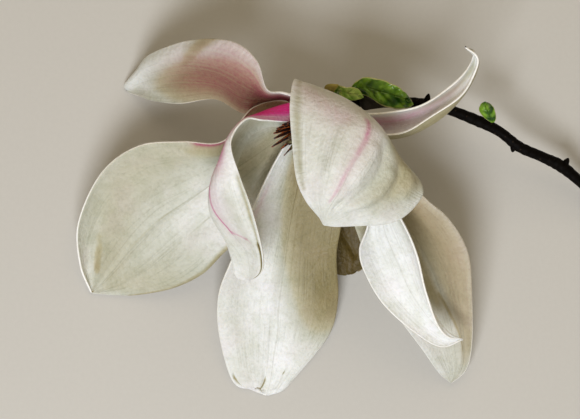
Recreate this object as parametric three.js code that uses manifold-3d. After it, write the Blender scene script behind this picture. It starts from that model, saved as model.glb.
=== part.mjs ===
// A cut magnolia twig with one wide-open flower, laid down on a table. Millimetres, +Z up.
// The flower looks up and a little to the left and down the page. The tips of three tepals and
// the cut end of the twig touch the table, and the twig runs off to the right (+X).
// Each of the nine tepals is its own solid, clasping the receptacle in one of three whorls.

import * as THREE from "three";
import { mergeVertices } from "three/addons/utils/BufferGeometryUtils.js";
import Module from "manifold-3d";

const wasm = await Module();
wasm.setup();

// ---------------------------------------------------------------- driving dimensions

const GAP = 0.3; // clearance between pieces that sit on each other
const DEG = Math.PI / 180;

// The flower's own frame: the foot of the receptacle and the way the flower looks.
const FLOWER_FOOT = new THREE.Vector3(10.5, 32, 30);
const FLOWER_AXIS = new THREE.Vector3(-0.42, -0.48, 0.77).normalize();
const ORIGIN = new THREE.Vector3(24.5, -4, 0); // of the part, in the frame of the points below

const RECEPTACLE = { radius: 4.2, below: 2.5, above: 8 }; // its length either side of the foot
const CONE = { radius: 2, length: 10 }; // the spike of carpels that goes on from it
const WHORL_STEP = 2.3; // along the axis, from one whorl of tepals to the next
const CLAW = { halfWidth: 2.8, length: 3, thickness: 1.2 }; // a tepal's stalk-like foot
const BLADE = { midrib: 1.0, margin: 0.62 }; // thickness of a tepal beyond the claw
const ROWS_PER_STATION = 2; // of triangles, from one station of a tepal to the next
const TEPAL_COLUMNS = 12;

const STAMENS = { rings: 4, perRing: 13, length: 10, halfWidth: 0.6, step: 0.7 };
STAMENS.collar = 3.8; // radius of the ring that they stand in
STAMENS.droop = 205; // the side of the flower's axis on which they splay the most, an angle
const CARPELS = { rings: 5, perRing: 6, length: 2.6, radius: 0.55 };

const COLOURS = {
  tepal: "#e4e1d5",
  stamen: "#3a120c",
  carpel: "#6b6a3a",
  receptacle: "#7b7d42",
  bark: "#241d18",
  leaf: "#4f8a1e",
  youngLeaf: "#86ad3e",
  budScale: "#2b2119",
};

// Each tepal is lofted through stations, from its claw to its tip. A station is a line of points
// across the blade, from the left margin to the right one as the inner face is seen with the claw
// at the bottom. The angle is the place of its claw round the flower's axis. The belly is how far
// each half bulges towards the outer face, from the claw to the tip.
const TEPALS = {
  tepal_1: {
    whorl: 0,
    angle: 155,
    belly: { left: [0, 0, 1, 0.5, 0], right: [0, 0, -2.5, -1.5, 0] },
    rows: [
      [[-1.5, 35.5, 31], [-2.5, 37.5, 32], [-2.5, 39, 36]],
      [[-9.5, 35, 32], [-8.5, 37.5, 35], [-7.5, 40, 41]],
      [[-15.5, 32, 33], [-15.5, 39, 36], [-10.9, 49, 45]],
      [[-25, 37, 27], [-25, 44, 32], [-19, 55.5, 43]],
      [[-37.5, 36, 18], [-37, 45.5, 23], [-33.5, 56.5, 31]],
      [[-47, 37.5, 9], [-47, 44.5, 12.5], [-47.6, 52.9, 16]],
      [[-53, 39.5, 2.5], [-52.5, 43.5, 4.5], [-53, 48, 6.5]],
      [[-56, 40.5, 0.3], [-56.5, 42, 0.8], [-56.5, 44.5, 1.5]],
    ],
    tip: [-57, 42, 0.3],
  },
  tepal_2: {
    whorl: 1,
    angle: 212,
    belly: { left: [0, 0, 0, -1, -1.5, -1, 0], right: [0, 0, 0, 1, 2.5, 4, 2] },
    rows: [
      [[0.5, 23.5, 27], [-1.5, 25.5, 28], [-1.2, 36.2, 33]],
      [[-3.5, 10, 21], [-13, 17.5, 26], [-12.3, 33.8, 35]],
      [[-12, -5.5, 17], [-24.5, 10, 22], [-22.5, 23, 34]],
      [[-22, -14, 13], [-35, 2.5, 18], [-36, 23, 30]],
      [[-30, -22, 9], [-44.5, -4, 13.5], [-51, 21.5, 26]],
      [[-40.5, -27, 5], [-53.5, -12.5, 9], [-64, 12.5, 20]],
      [[-53, -29.5, 2], [-61, -21, 4], [-72.5, -4.5, 13]],
      [[-61.5, -29.5, 0.8], [-65.5, -26, 1.5], [-72.5, -19, 6]],
    ],
    tip: [-69, -29, 1],
  },
  tepal_3: {
    whorl: 2,
    angle: 150,
    belly: { left: [0, 0, 1.5, 1.5, 0.5, 0], right: [0, 0, 0.5, 2, 0.5, 0] },
    rows: [
      [[0, 28.5, 33], [0, 35, 36], [0.5, 29.5, 38.4]],
      [[-9, 27, 35], [-8.5, 32.2, 41], [-8.5, 29.5, 47]],
      [[-13.5, 23, 37], [-15.2, 27.8, 46], [-14.6, 29.6, 53]],
      [[-17, 16.5, 39], [-20, 20.5, 51], [-19, 22.2, 57]],
      [[-20.5, 6.5, 40], [-25, 9.5, 51], [-16, 11, 57]],
      [[-23.5, -1.5, 38], [-25, 1, 47], [-12.5, 1, 53]],
      [[-21.5, -9.5, 36], [-19.5, -7, 43], [-10, -8.5, 47]],
      [[-19.5, -17, 33], [-14.5, -13.5, 38], [-9, -16, 40]],
      [[-18, -22.5, 31], [-13.5, -20, 33], [-9.5, -21, 35]],
    ],
    tip: [-13.5, -24, 30.5],
  },
  tepal_4: {
    whorl: 2,
    angle: 250,
    belly: { left: [0, 0, 0.5, -0.5, -1, -1, -1, 0], right: [0, 0, 0.5, 1, 0.5, -0.5, -1, 0] },
    rows: [
      [[11.5, 20, 31], [5.5, 23.5, 29], [-1, 22.5, 33]],
      [[15, 10.5, 27], [4, 13.5, 26.5], [-6.5, 13, 32]],
      [[17.5, -2, 21], [1, 1, 21.5], [-12.5, 0.5, 28]],
      [[15.8, -15.5, 14], [-1.5, -15.5, 15.5], [-19.5, -16, 21]],
      [[16.5, -31, 7.5], [-3.5, -31, 9.5], [-24.5, -29, 13.5]],
      [[13, -44, 2.5], [-5, -45.5, 4], [-24.5, -43, 7]],
      [[0.5, -59.5, 0.6], [-7, -60, 0.4], [-20, -59.3, 1.5]],
      [[-3, -63, 0.3], [-8, -63.6, 0.3], [-13, -62.6, 0.5]],
    ],
    tip: [-8, -64.6, 0.3],
  },
  tepal_5: {
    whorl: 1,
    angle: 75,
    rows: [
      [[5.5, 38.5, 43], [13, 37.5, 44], [20, 33.5, 40]],
      [[1.5, 42.5, 51], [20, 34.5, 55], [29, 26.5, 45]],
      [[0, 34.5, 57], [26, 27.5, 62], [36, 17, 48]],
      [[0.5, 23.5, 60], [23, 20, 65.5], [43, 7.6, 50]],
      [[2, 11, 60], [19, 12.5, 66], [41.5, 2, 51]],
      [[5, 3.5, 58.5], [15.5, 5.5, 64], [33.5, -4, 52]],
      [[8, -1, 57.5], [12.5, 0.5, 61], [20, -5.5, 54]],
    ],
    tip: [11, -5, 57],
  },
  tepal_6: {
    whorl: 2,
    angle: 330,
    belly: { left: [0, 0, 1, 1.5, 1, 0], right: [0, 0, 1, 1.5, 1, 0] },
    rows: [
      [[18.5, 23, 37], [15.5, 20.5, 34.5], [10, 21, 33]],
      [[26.5, 13, 37], [21.5, 10.5, 33.5], [17, 10, 33]],
      [[32.5, 4, 37], [29, 1.5, 33.5], [25.8, -3, 32.5]],
      [[38, -5.5, 37], [32, -8, 31], [23.2, -13.5, 31]],
      [[42.5, -16, 35.5], [36.5, -18.5, 29], [25.2, -21.5, 29]],
      [[45.5, -27.5, 32.5], [41, -28, 27], [31.5, -32, 27]],
      [[49, -37, 29], [47, -36.5, 25], [42, -41.5, 25]],
      [[53.5, -42.5, 26], [53, -42.5, 24.5], [51, -46.5, 24]],
    ],
    tip: [58.5, -44, 24],
  },
  tepal_7: {
    whorl: 1,
    angle: 320,
    belly: { left: [0, 0, -0.5, -1.5, -2, -1, 0, 0], right: [0, 0] },
    rows: [
      [[21, 24.5, 31.4], [17.5, 20.5, 29.2], [12.5, 23, 29.4]],
      [[33, 16.5, 31], [25.5, 11.5, 26.5], [15, 10, 25]],
      [[45, 4.5, 31], [35, 1.5, 25], [20.5, -2, 23]],
      [[53.5, -3, 30], [42.5, -9, 21], [25.5, -15.5, 20]],
      [[60, -14.5, 26], [49, -21.5, 16], [30.5, -27.5, 17]],
      [[62, -29, 20], [53.5, -34, 11], [37, -37, 13]],
      [[62.5, -44, 12], [56.5, -46, 6], [45, -47.5, 8]],
      [[61, -55, 5], [57.5, -54.5, 2.5], [51.5, -56.5, 3.5]],
    ],
    tip: [56, -60.5, 1.5],
  },
  tepal_8: {
    whorl: 0,
    angle: 280,
    rows: [
      [[20.5, 16.5, 17.4], [13.5, 15.5, 16.4], [7, 15.5, 17.4]],
      [[28, 4.5, 11], [18.5, 2, 9], [10, 1.5, 11]],
      [[29, -6.5, 6], [21, -9, 4.5], [12.5, -10.5, 6]],
      [[28, -16, 4], [22, -18, 3], [15, -19.5, 4]],
      [[25, -20.5, 3], [21.5, -21.5, 2.6], [16.5, -22.5, 3]],
    ],
    tip: [21, -22.5, 2.6],
  },
  tepal_9: {
    whorl: 0,
    angle: 40,
    rows: [
      [[20.5, 32.5, 38], [20, 32, 34], [20, 30.5, 31], [20, 27, 33], [20, 26.5, 38]],
      [[29, 31.5, 43], [29.5, 31, 36], [30, 28.5, 31], [30, 24, 35], [29, 25, 42]],
      [[37.5, 33, 44], [38, 32, 39], [39, 29.5, 35], [39.5, 25, 37.5], [37.5, 25.5, 43]],
      [[45.8, 36, 44], [46.2, 35.1, 40.5], [47.6, 32.8, 38], [48.6, 29.5, 39.5], [46, 30, 43]],
      [[53.2, 40.6, 44], [54, 40.2, 41.5], [55, 38.7, 40], [55.7, 36, 41], [54.7, 36, 44]],
      [[58.2, 46.3, 44], [58.6, 45.9, 43], [59.5, 44.5, 42], [60.2, 42.5, 42.5], [59.7, 42.5, 44]],
      [[60.3, 51.8, 45], [60.6, 51.4, 44.5], [61, 50.2, 44], [61.7, 49, 44], [61.7, 49, 46]],
    ],
    tip: [57.5, 53.5, 47],
  },
};

// Leaves and scales are lofted the same way, from their stalk to their tip, the last point.
const LEAVES = {
  leaf_large: [
    [[20.4, 38.3, 25.6], [20.9, 38.3, 26], [21.4, 38.3, 25.6]],
    [[20.4, 40.7, 31], [21.8, 40.1, 30.2], [22.8, 39.3, 29.8]],
    [[24, 43.8, 35], [25.4, 40.9, 33.5], [27.1, 37.6, 32.2]],
    [[29.3, 43.4, 37], [30, 39.5, 34.5], [30.4, 35.2, 33.5]],
    [[34.3, 41.6, 36.5], [34.7, 38.2, 34], [34.8, 33.9, 33]],
    [[38, 39.2, 35], [38.4, 36.9, 33.5], [38.8, 34.1, 32.5]],
    [[41.2, 35.2, 31.5]],
  ],
  leaf_small: [
    [[15.3, 37.9, 27], [15.7, 37.9, 27.3], [16.1, 37.9, 27]],
    [[15, 41.6, 32.6], [16.1, 40, 31.4], [17.1, 37.7, 31]],
    [[18.6, 40.6, 36], [19.2, 38.9, 34.6], [19, 36.8, 33]],
    [[22, 40.4, 36.2], [22, 38.5, 35], [21.4, 36.7, 33.8]],
    [[24.5, 37.5, 34]],
  ],
  leaf_scale: [
    [[12.8, 37.7, 27.94], [13.1, 37.7, 28.34], [13.5, 37.7, 27.94]],
    [[11.7, 39.4, 32.2], [12.9, 39, 33.2], [14.4, 39, 33]],
    [[12.2, 41.6, 34.6], [13.8, 40.9, 35.4], [15.3, 40.2, 35.2]],
    [[16.2, 41.5, 35.8]],
  ],
  bud_scale: [
    [[23.6, 36.6, 26.4], [23.6, 36.2, 26.5], [23.6, 35.9, 26.4]],
    [[25.2, 38.8, 29], [25.5, 36.5, 28.4], [24.9, 33.5, 27.8]],
    [[27.3, 37.1, 29.8], [27.9, 35.4, 29], [27.6, 33.8, 28.4]],
    [[32.2, 34.4, 28.8]],
  ],
  twig_leaf: [
    [[68.6, 29.8, 19.6], [68.9, 29.8, 19.9], [69.3, 29.8, 19.6]],
    [[66.5, 31, 20.8], [67.7, 31.7, 22.2], [69.7, 31, 20.8]],
    [[64.3, 33.4, 22.4], [66.6, 33.6, 24.2], [69.1, 33.7, 22.2]],
    [[64.6, 35.3, 23.4], [65.9, 35.1, 24.4], [68, 35.3, 23.2]],
    [[65.9, 36.3, 24]],
  ],
};
const LEAF_THICKNESS = 0.7;
const LEAF_COLUMNS = 8;

// The twig runs from its cut end on the table to the foot of the receptacle: points and radii.
const TWIG_PATH = [
  [121.5, -8.9, 1.9],
  [110.5, 0.6, 4.8],
  [100, 9.5, 8],
  [93, 15, 10.5],
  [86.4, 18, 12.5],
  [78.6, 21.3, 15],
  [71.6, 26.4, 17],
  [63.9, 30.1, 19],
  [54.2, 33.7, 22],
  [45.6, 35.6, 24],
  [37.1, 36.2, 24.6],
  [27.7, 36.4, 24.4],
  [20.5, 37, 23.4],
  [15, 37, 24.2],
];
const TWIG_RADII = [1.95, 1.85, 1.8, 2.1, 1.8, 1.85, 1.75, 1.95, 1.75, 1.85, 2, 1.95, 2.2, 2.5];
const TWIG_SIDES = 10;

// Small buds on the twig, each from a point inside it to its own tip, with the radius of its foot.
const BUDS = [
  { foot: [46, 35.8, 24], tip: [46.8, 39, 26], radius: 1.1 },
  { foot: [94, 14.8, 10.2], tip: [95.6, 17.6, 11.4], radius: 1.2 },
  { foot: [76.5, 22, 15.6], tip: [76, 19.6, 14.8], radius: 1.1 },
];

// ---------------------------------------------------------------- curves

/** Value at t (0 to 1) of a smooth curve through evenly spaced numbers. */
function along(values, t) {
  const last = values.length - 1;
  const x = Math.min(Math.max(t, 0), 1) * last;
  const i = Math.min(Math.floor(x), last - 1);
  const f = x - i;
  const [p, q] = [values[i], values[i + 1]];
  const before = i > 0 ? values[i - 1] : 2 * p - q;
  const after = i + 2 <= last ? values[i + 2] : 2 * q - p;
  const bend = 2 * before - 5 * p + 4 * q - after;
  return p + (f / 2) * (q - before + f * (bend + f * (3 * (p - q) + after - before)));
}

/** The same for points. */
function alongPoints(points, t) {
  const coordinate = (k) => along(points.map((point) => point.getComponent(k)), t);
  return new THREE.Vector3(coordinate(0), coordinate(1), coordinate(2));
}

/** A smooth step from 0 to 1 between two places. */
function ramp(from, to, x) {
  const f = Math.min(Math.max((x - from) / (to - from), 0), 1);
  return f * f * (3 - 2 * f);
}

// Directions across the flower's axis: angle 0 points right and 90 up the page.
const ACROSS = new THREE.Vector3(1, 0, 0).addScaledVector(FLOWER_AXIS, -FLOWER_AXIS.x).normalize();
const UPWARD = new THREE.Vector3().crossVectors(FLOWER_AXIS, ACROSS);

/** The point at a height along the flower's axis, a distance from it and an angle round it. */
function aboutAxis(height, radius, angle) {
  return FLOWER_FOOT.clone()
    .addScaledVector(FLOWER_AXIS, height)
    .addScaledVector(ACROSS, radius * Math.cos(angle * DEG))
    .addScaledVector(UPWARD, radius * Math.sin(angle * DEG));
}

// ---------------------------------------------------------------- solids

function toGeometry(vertices, triangles) {
  const geometry = new THREE.BufferGeometry();
  geometry.setAttribute("position", new THREE.BufferAttribute(new Float32Array(vertices), 3));
  geometry.setIndex(triangles);
  return geometry;
}

function toManifold(geometry) {
  const bare = geometry.clone();
  bare.deleteAttribute("normal");
  bare.deleteAttribute("uv");
  const merged = mergeVertices(bare, 1e-4);
  return new wasm.Manifold(
    new wasm.Mesh({
      numProp: 3,
      vertProperties: merged.attributes.position.array,
      triVerts: new Uint32Array(merged.index.array),
    }),
  );
}

/** One solid out of several that sink into each other, with no hollows shut in between them. */
function fuse(geometries) {
  const whole = geometries.map(toManifold).reduce((sum, piece) => sum.add(piece));
  const shells = whole.decompose().sort((a, b) => b.volume() - a.volume());
  const mesh = shells[0].getMesh();
  return toGeometry(mesh.vertProperties, Array.from(mesh.triVerts));
}

/** Unit normals of a grid of points, on the side that the inner face of a blade is on. */
function gridNormals(grid) {
  const rows = grid.length - 1;
  const columns = grid[0].length - 1;
  return grid.map((row, i) =>
    row.map((_, j) => {
      const lengthwise = grid[Math.min(i + 1, rows)][j].clone().sub(grid[Math.max(i - 1, 0)][j]);
      const base = grid[Math.min(i, rows - 1)]; // the tip's row is a single point
      const sideways = base[Math.min(j + 1, columns)].clone().sub(base[Math.max(j - 1, 0)]);
      return sideways.cross(lengthwise).normalize();
    }),
  );
}

/**
 * A closed thin blade about a grid of middle points: rows run from the claw to the tip, and the
 * last row is one point. Both faces are split into triangles alike. Where the blade would sink
 * into the table it lies flat on it. The end of the claw stands square to footNormal.
 */
function bladeSolid(grid, thickness, footNormal) {
  const rows = grid.length - 1;
  const columns = grid[0].length - 1;
  const normals = gridNormals(grid);
  if (footNormal) normals[0].fill(footNormal);
  const vertices = [];
  for (const side of [0.5, -0.5]) {
    for (let i = 0; i <= rows; i++) {
      for (let j = 0; j <= (i < rows ? columns : 0); j++) {
        const normal = i < rows ? normals[i][j] : normals[i][columns / 2];
        const depth = thickness(i / rows, (2 * j) / columns - 1);
        const point = grid[i][j].clone().addScaledVector(normal, side * depth);
        const lowest = side * normal.z < 0 ? 0 : depth;
        vertices.push(point.x, point.y, Math.max(point.z, lowest));
      }
    }
  }
  const tip = rows * (columns + 1);
  const inner = Array.from(new THREE.PlaneGeometry(1, 1, columns, rows - 1).index.array);
  for (let j = 0; j < columns; j++) {
    const before = tip - columns - 1 + j;
    inner.push(before, tip, before + 1);
  }
  const rim = [];
  for (let j = columns; j > 0; j--) rim.push(j); // along the foot of the claw
  for (let i = 0; i < rows; i++) rim.push(i * (columns + 1)); // out along the left margin
  rim.push(tip);
  for (let i = rows - 1; i > 0; i--) rim.push(i * (columns + 1) + columns); // back on the right
  const toOuter = tip + 1; // from a point of the inner face to the same one of the outer face
  const triangles = [];
  for (let k = 0; k < inner.length; k += 3) {
    const [a, b, c] = [inner[k], inner[k + 1], inner[k + 2]];
    triangles.push(a, c, b, a + toOuter, b + toOuter, c + toOuter);
  }
  rim.forEach((a, k) => {
    const b = rim[(k + 1) % rim.length];
    triangles.push(a, b, b + toOuter, a, b + toOuter, a + toOuter);
  });
  return toGeometry(vertices, triangles);
}

/** A closed round rod along a path of points, with a radius at each, and flat ends. */
function rodSolid(path, radii, sides, flatness = 1) {
  const vertices = [];
  const triangles = [];
  let side = null;
  path.forEach((centre, i) => {
    const heading = path[Math.min(i + 1, path.length - 1)].clone().sub(path[Math.max(i - 1, 0)]);
    heading.normalize();
    if (!side) side = new THREE.Vector3(heading.z, heading.x, heading.y);
    side.addScaledVector(heading, -side.dot(heading)).normalize();
    const other = new THREE.Vector3().crossVectors(heading, side);
    for (let k = 0; k < sides; k++) {
      const turn = (2 * Math.PI * k) / sides;
      const point = centre
        .clone()
        .addScaledVector(side, radii[i] * Math.cos(turn))
        .addScaledVector(other, radii[i] * Math.sin(turn) * flatness);
      vertices.push(point.x, point.y, Math.max(point.z, 0)); // flat where it lies on the table
    }
  });
  const lastRing = (path.length - 1) * sides;
  for (let k = 0; k < sides; k++) {
    const next = (k + 1) % sides;
    for (let ring = 0; ring < lastRing; ring += sides) {
      triangles.push(ring + k, ring + next, ring + sides + next);
      triangles.push(ring + k, ring + sides + next, ring + sides + k);
    }
    if (k > 0 && k < sides - 1) {
      triangles.push(0, k + 1, k);
      triangles.push(lastRing, lastRing + k, lastRing + k + 1);
    }
  }
  return toGeometry(vertices, triangles);
}

// ---------------------------------------------------------------- tepals

/** The grid of middle points of a blade lofted through its stations. */
function loft(stations, columns) {
  const rows = (stations.length - 1) * ROWS_PER_STATION;
  const grid = [];
  for (let i = 0; i <= rows; i++) {
    const row = [];
    for (let j = 0; j <= columns; j++) {
      const acrossBlade = stations.map((station) => alongPoints(station, j / columns));
      row.push(alongPoints(acrossBlade, i / rows));
    }
    grid.push(row);
  }
  return grid;
}

/** A tepal's first two stations: bent round the receptacle, then straight at the claw's end. */
function clawStations({ whorl, angle }, points) {
  const height = (whorl + 0.5) * WHORL_STEP;
  const foot = RECEPTACLE.radius + GAP + 0.12; // the claw is a little flatter than the arc
  const reach = foot + CLAW.length;
  const spread = CLAW.halfWidth / foot / DEG;
  const clasp = [];
  const end = [];
  for (let k = 0; k < points; k++) {
    const across = 1 - (2 * k) / (points - 1);
    clasp.push(aboutAxis(height, foot, angle + across * spread));
    end.push(aboutAxis(height + 0.8, reach, angle + (across * spread * foot) / reach));
  }
  return [clasp, end];
}

/** Pushes each half of a blade towards its outer face, between the midrib and the margin. */
function swell(grid, { left, right }) {
  const normals = gridNormals(grid);
  const middle = (grid[0].length - 1) / 2;
  grid.forEach((row, i) =>
    row.forEach((point, j) => {
      const depth = along(j < middle ? left : right, i / (grid.length - 1));
      const share = Math.sin(Math.PI * Math.abs(j / middle - 1) ** 1.4);
      point.addScaledVector(normals[i][j], -depth * share);
    }),
  );
}

function tepal(spec) {
  const points = spec.rows[0].length;
  const traced = spec.rows.map((row) => row.map((point) => new THREE.Vector3(...point)));
  const tip = Array(points).fill(new THREE.Vector3(...spec.tip));
  const stations = [...clawStations(spec, points), ...traced, tip];
  const grid = loft(stations, TEPAL_COLUMNS);
  if (spec.belly) swell(grid, spec.belly);
  const thickness = (t, v) => {
    const edge = Math.max(ramp(0.45, 1, Math.abs(v)), ramp(0.5, 1, t));
    const blade = BLADE.midrib + (BLADE.margin - BLADE.midrib) * edge;
    return blade + (CLAW.thickness - blade) * (1 - ramp(0.05, 0.3, t));
  };
  return bladeSolid(grid, thickness, FLOWER_AXIS);
}

// ---------------------------------------------------------------- the flower's middle

/** A point on the flower's axis. */
function onAxis(height) {
  return aboutAxis(height, 0, 0);
}

function receptacle() {
  const { radius, below, above } = RECEPTACLE;
  const path = [onAxis(-below), onAxis(-below / 2), onAxis(above - 1), onAxis(above)];
  return rodSolid(path, [radius - 0.8, radius, radius, radius - 0.6], 24);
}

/** Curved flat filaments in rings, standing in one collar. */
function stamens() {
  const { rings, perRing, length, halfWidth, step } = STAMENS;
  const start = RECEPTACLE.above + GAP;
  const collar = [onAxis(start), onAxis(start + (rings + 0.5) * step)];
  const pieces = [rodSolid(collar, [STAMENS.collar, STAMENS.collar], 24)];
  for (let ring = 0; ring < rings; ring++) {
    for (let k = 0; k < perRing; k++) {
      const angle = (360 * (k + ring * 0.5)) / perRing;
      const height = start + (ring + 0.6) * step;
      const fall = Math.max(0, Math.cos((angle - STAMENS.droop) * DEG)) ** 2;
      const lean = 0.16 + 0.46 * fall + 0.05 * Math.sin(7 * k + 3 * ring); // outward
      const reach = length * (1 + 0.1 * Math.sin(5 * k + ring));
      const path = [0, 0.3, 0.65, 1].map((s) => {
        const radius = STAMENS.collar - 0.6 + (0.3 + lean * reach) * s;
        return aboutAxis(height + reach * s * (0.45 + 0.3 * s), radius, angle);
      });
      pieces.push(rodSolid(path, [halfWidth, halfWidth, halfWidth * 0.9, 0.25], 4, 0.6));
    }
  }
  return fuse(pieces);
}

/** The spike of carpels: a tapering core with rings of small hooked styles. */
function carpels() {
  const start = RECEPTACLE.above + GAP + (STAMENS.rings + 0.5) * STAMENS.step + GAP;
  const { radius, length } = CONE;
  const core = [0, 0.5, 0.85, 1].map((s) => onAxis(start + s * length));
  const pieces = [rodSolid(core, [radius, radius * 0.85, radius * 0.55, 0.5], 12)];
  for (let ring = 0; ring < CARPELS.rings; ring++) {
    const s = 0.12 + (0.74 * ring) / (CARPELS.rings - 1);
    const girth = radius * (1 - 0.45 * s);
    for (let k = 0; k < CARPELS.perRing; k++) {
      const angle = (360 * (k + ring * 0.5)) / CARPELS.perRing;
      const height = start + s * length;
      const out = (a, b) => aboutAxis(height + a, girth + b, angle);
      const path = [out(0, -0.9), out(0.7, 0.8), out(1.9, 1.2), out(CARPELS.length, 0.7)];
      const thick = CARPELS.radius;
      pieces.push(rodSolid(path, [thick, thick, thick * 0.7, 0.25], 4));
    }
  }
  return fuse(pieces);
}

// ---------------------------------------------------------------- twig and leaves

function twig() {
  const join = onAxis(-RECEPTACLE.below - GAP);
  const path = TWIG_PATH.map((point) => new THREE.Vector3(...point));
  path.push(onAxis(-RECEPTACLE.below - 1.8), join);
  const radii = [...TWIG_RADII, 3.2, RECEPTACLE.radius - 0.8];
  const pieces = [rodSolid(path, radii, TWIG_SIDES)];
  for (const { foot, tip, radius } of BUDS) {
    const from = new THREE.Vector3(...foot);
    const to = new THREE.Vector3(...tip);
    const bud = [0, 0.5, 0.8, 1].map((s) => from.clone().lerp(to, s));
    pieces.push(rodSolid(bud, [radius, radius, radius * 0.7, 0.25], 6));
  }
  return fuse(pieces);
}

/** A young leaf, or a scale, lofted through its stations to the point of its tip. */
function leaf(rows) {
  const points = rows.map((row) => row.map((point) => new THREE.Vector3(...point)));
  const stations = points.map((row) => (row.length > 1 ? row : Array(3).fill(row[0])));
  return bladeSolid(loft(stations, LEAF_COLUMNS), () => LEAF_THICKNESS);
}

// ---------------------------------------------------------------- assembly

const branch = new THREE.Group();

function add(name, geometry, colour, roughness = 0.6) {
  const material = new THREE.MeshStandardMaterial({ color: colour, roughness, metalness: 0 });
  const mesh = new THREE.Mesh(geometry, material);
  mesh.name = name;
  branch.add(mesh);
}

for (const [name, spec] of Object.entries(TEPALS)) add(name, tepal(spec), COLOURS.tepal);
add("receptacle", receptacle(), COLOURS.receptacle);
add("stamens", stamens(), COLOURS.stamen, 0.45);
add("carpels", carpels(), COLOURS.carpel);
add("twig", twig(), COLOURS.bark, 0.7);
add("leaf_large", leaf(LEAVES.leaf_large), COLOURS.leaf, 0.35);
add("leaf_small", leaf(LEAVES.leaf_small), COLOURS.youngLeaf, 0.4);
add("leaf_scale", leaf(LEAVES.leaf_scale), COLOURS.youngLeaf);
add("bud_scale", leaf(LEAVES.bud_scale), COLOURS.budScale);
add("twig_leaf", leaf(LEAVES.twig_leaf), COLOURS.leaf, 0.4);

// The origin is the middle of the underside of the whole branch's box.
branch.position.copy(ORIGIN).negate();

export default branch;
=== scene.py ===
"""A cut magnolia twig with one wide-open flower, laid down on a pale surface.

The camera looks straight down on it. Sizes of the pieces are in millimetres and are turned to
metres only where a mesh is written.
"""

from __future__ import annotations

import logging
import math
import random
from contextlib import contextmanager
from dataclasses import dataclass
from enum import Enum
from typing import Callable, Iterator, Sequence, Union

import bpy
import numpy as np
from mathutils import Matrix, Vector

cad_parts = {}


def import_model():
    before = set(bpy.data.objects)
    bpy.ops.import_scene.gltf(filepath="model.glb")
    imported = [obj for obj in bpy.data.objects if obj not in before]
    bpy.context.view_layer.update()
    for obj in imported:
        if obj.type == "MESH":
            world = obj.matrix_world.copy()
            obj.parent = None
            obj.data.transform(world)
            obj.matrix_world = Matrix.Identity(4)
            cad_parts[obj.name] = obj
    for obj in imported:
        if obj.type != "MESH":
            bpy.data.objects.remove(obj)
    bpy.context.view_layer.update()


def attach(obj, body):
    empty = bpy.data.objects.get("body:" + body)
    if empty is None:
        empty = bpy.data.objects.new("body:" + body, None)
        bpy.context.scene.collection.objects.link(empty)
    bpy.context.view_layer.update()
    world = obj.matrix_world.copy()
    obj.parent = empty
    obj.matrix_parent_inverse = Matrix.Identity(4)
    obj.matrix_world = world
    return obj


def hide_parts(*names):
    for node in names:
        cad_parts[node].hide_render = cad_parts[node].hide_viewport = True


log = logging.getLogger("magnolia")

MM = 0.001
DEG = math.pi / 180
Point = tuple[float, float, float]
Station = tuple[Point, ...]
Line = tuple[tuple[float, float], ...]
Array = np.ndarray
Surface = Callable[[Array, Array], Array]
Socket = bpy.types.NodeSocket
Feed = Union[Socket, str, float, Sequence[float], None]
Stops = tuple[tuple[float, str], ...]

# The part's origin, and the flower's own frame, in the frame of the points below.
ORIGIN = np.array((24.5, -4.0, 0.0))
FLOWER_FOOT = np.array((10.5, 32.0, 30.0))
FLOWER_AXIS = np.array((-0.42, -0.48, 0.77)) / np.linalg.norm((-0.42, -0.48, 0.77))
_ACROSS = np.array((1.0, 0.0, 0.0)) - FLOWER_AXIS[0] * FLOWER_AXIS
ACROSS = _ACROSS / np.linalg.norm(_ACROSS)
UPWARD = np.cross(FLOWER_AXIS, ACROSS)

GAP = 0.3
RECEPTACLE_RADIUS = 4.2
RECEPTACLE_TOP = 8.0
WHORL_STEP = 2.3
CLAW_HALF_WIDTH = 2.8
CLAW_LENGTH = 3.0
CLAW_RISE = 0.8
CLAW_FLATNESS = 0.12  # the claw is a little flatter than the arc that it stands on
MIDDLE = 0.5  # the midrib's place across a blade


# ------------------------------------------------------------------ curves


def weights(count: int, t: Array) -> Array:
    """Weigh evenly spaced values so that their sums lie on a smooth curve through them.

    Args:
        count: How many values there are.
        t: Where to read the curve, from 0 to 1.

    Returns:
        A row of weights for each t.
    """
    x = np.clip(t, 0, 1) * (count - 1)
    i = np.minimum(x.astype(int), count - 2)
    f = x - i
    before, after = f / 2 * (2 * f - 1 - f * f), f / 2 * (f * f - f)
    start, end = 1 + f / 2 * (3 * f * f - 5 * f), f / 2 * (1 + 4 * f - 3 * f * f)
    table = np.zeros((len(x), count + 2))
    row = np.arange(len(x))
    for k, weight in enumerate((before, start, end, after)):
        table[row, i + k] = weight
    inner = table[:, 1:-1].copy()
    inner[:, 0] += 2 * table[:, 0]
    inner[:, 1] -= table[:, 0]
    inner[:, -1] += 2 * table[:, -1]
    inner[:, -2] -= table[:, -1]
    return inner


def loft(stations: Array, u: Array, v: Array) -> Array:
    """Find points on a smooth surface through stations.

    Args:
        stations: Rows of points in millimetres, one row for each station.
        u: Places across, 0 to 1.
        v: Places along, 0 at the first station to 1.

    Returns:
        One point for each place.
    """
    rows, columns = stations.shape[:2]
    return np.einsum("nk,np,kpc->nc", weights(rows, v), weights(columns, u), stations)


def undulation(u: Array, v: Array, seed: int) -> Array:
    """Give an irregular wave of about one unit's height over a blade.

    Args:
        u: Places across the blade.
        v: Places along the blade.
        seed: What the waves' turns and slants are drawn from.

    Returns:
        A height for each place.
    """
    dice = random.Random(seed)
    total = np.zeros(u.shape)
    for across, along in ((0.5, 2), (1, 3), (1.5, 5), (2, 7), (3, 9)):
        turn = dice.uniform(0, 2 * math.pi)
        slant = dice.choice((-1, 1))
        total += np.sin(math.pi * (slant * across * u + along * v) + turn) / (1 + along / 4)
    return total


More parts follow.
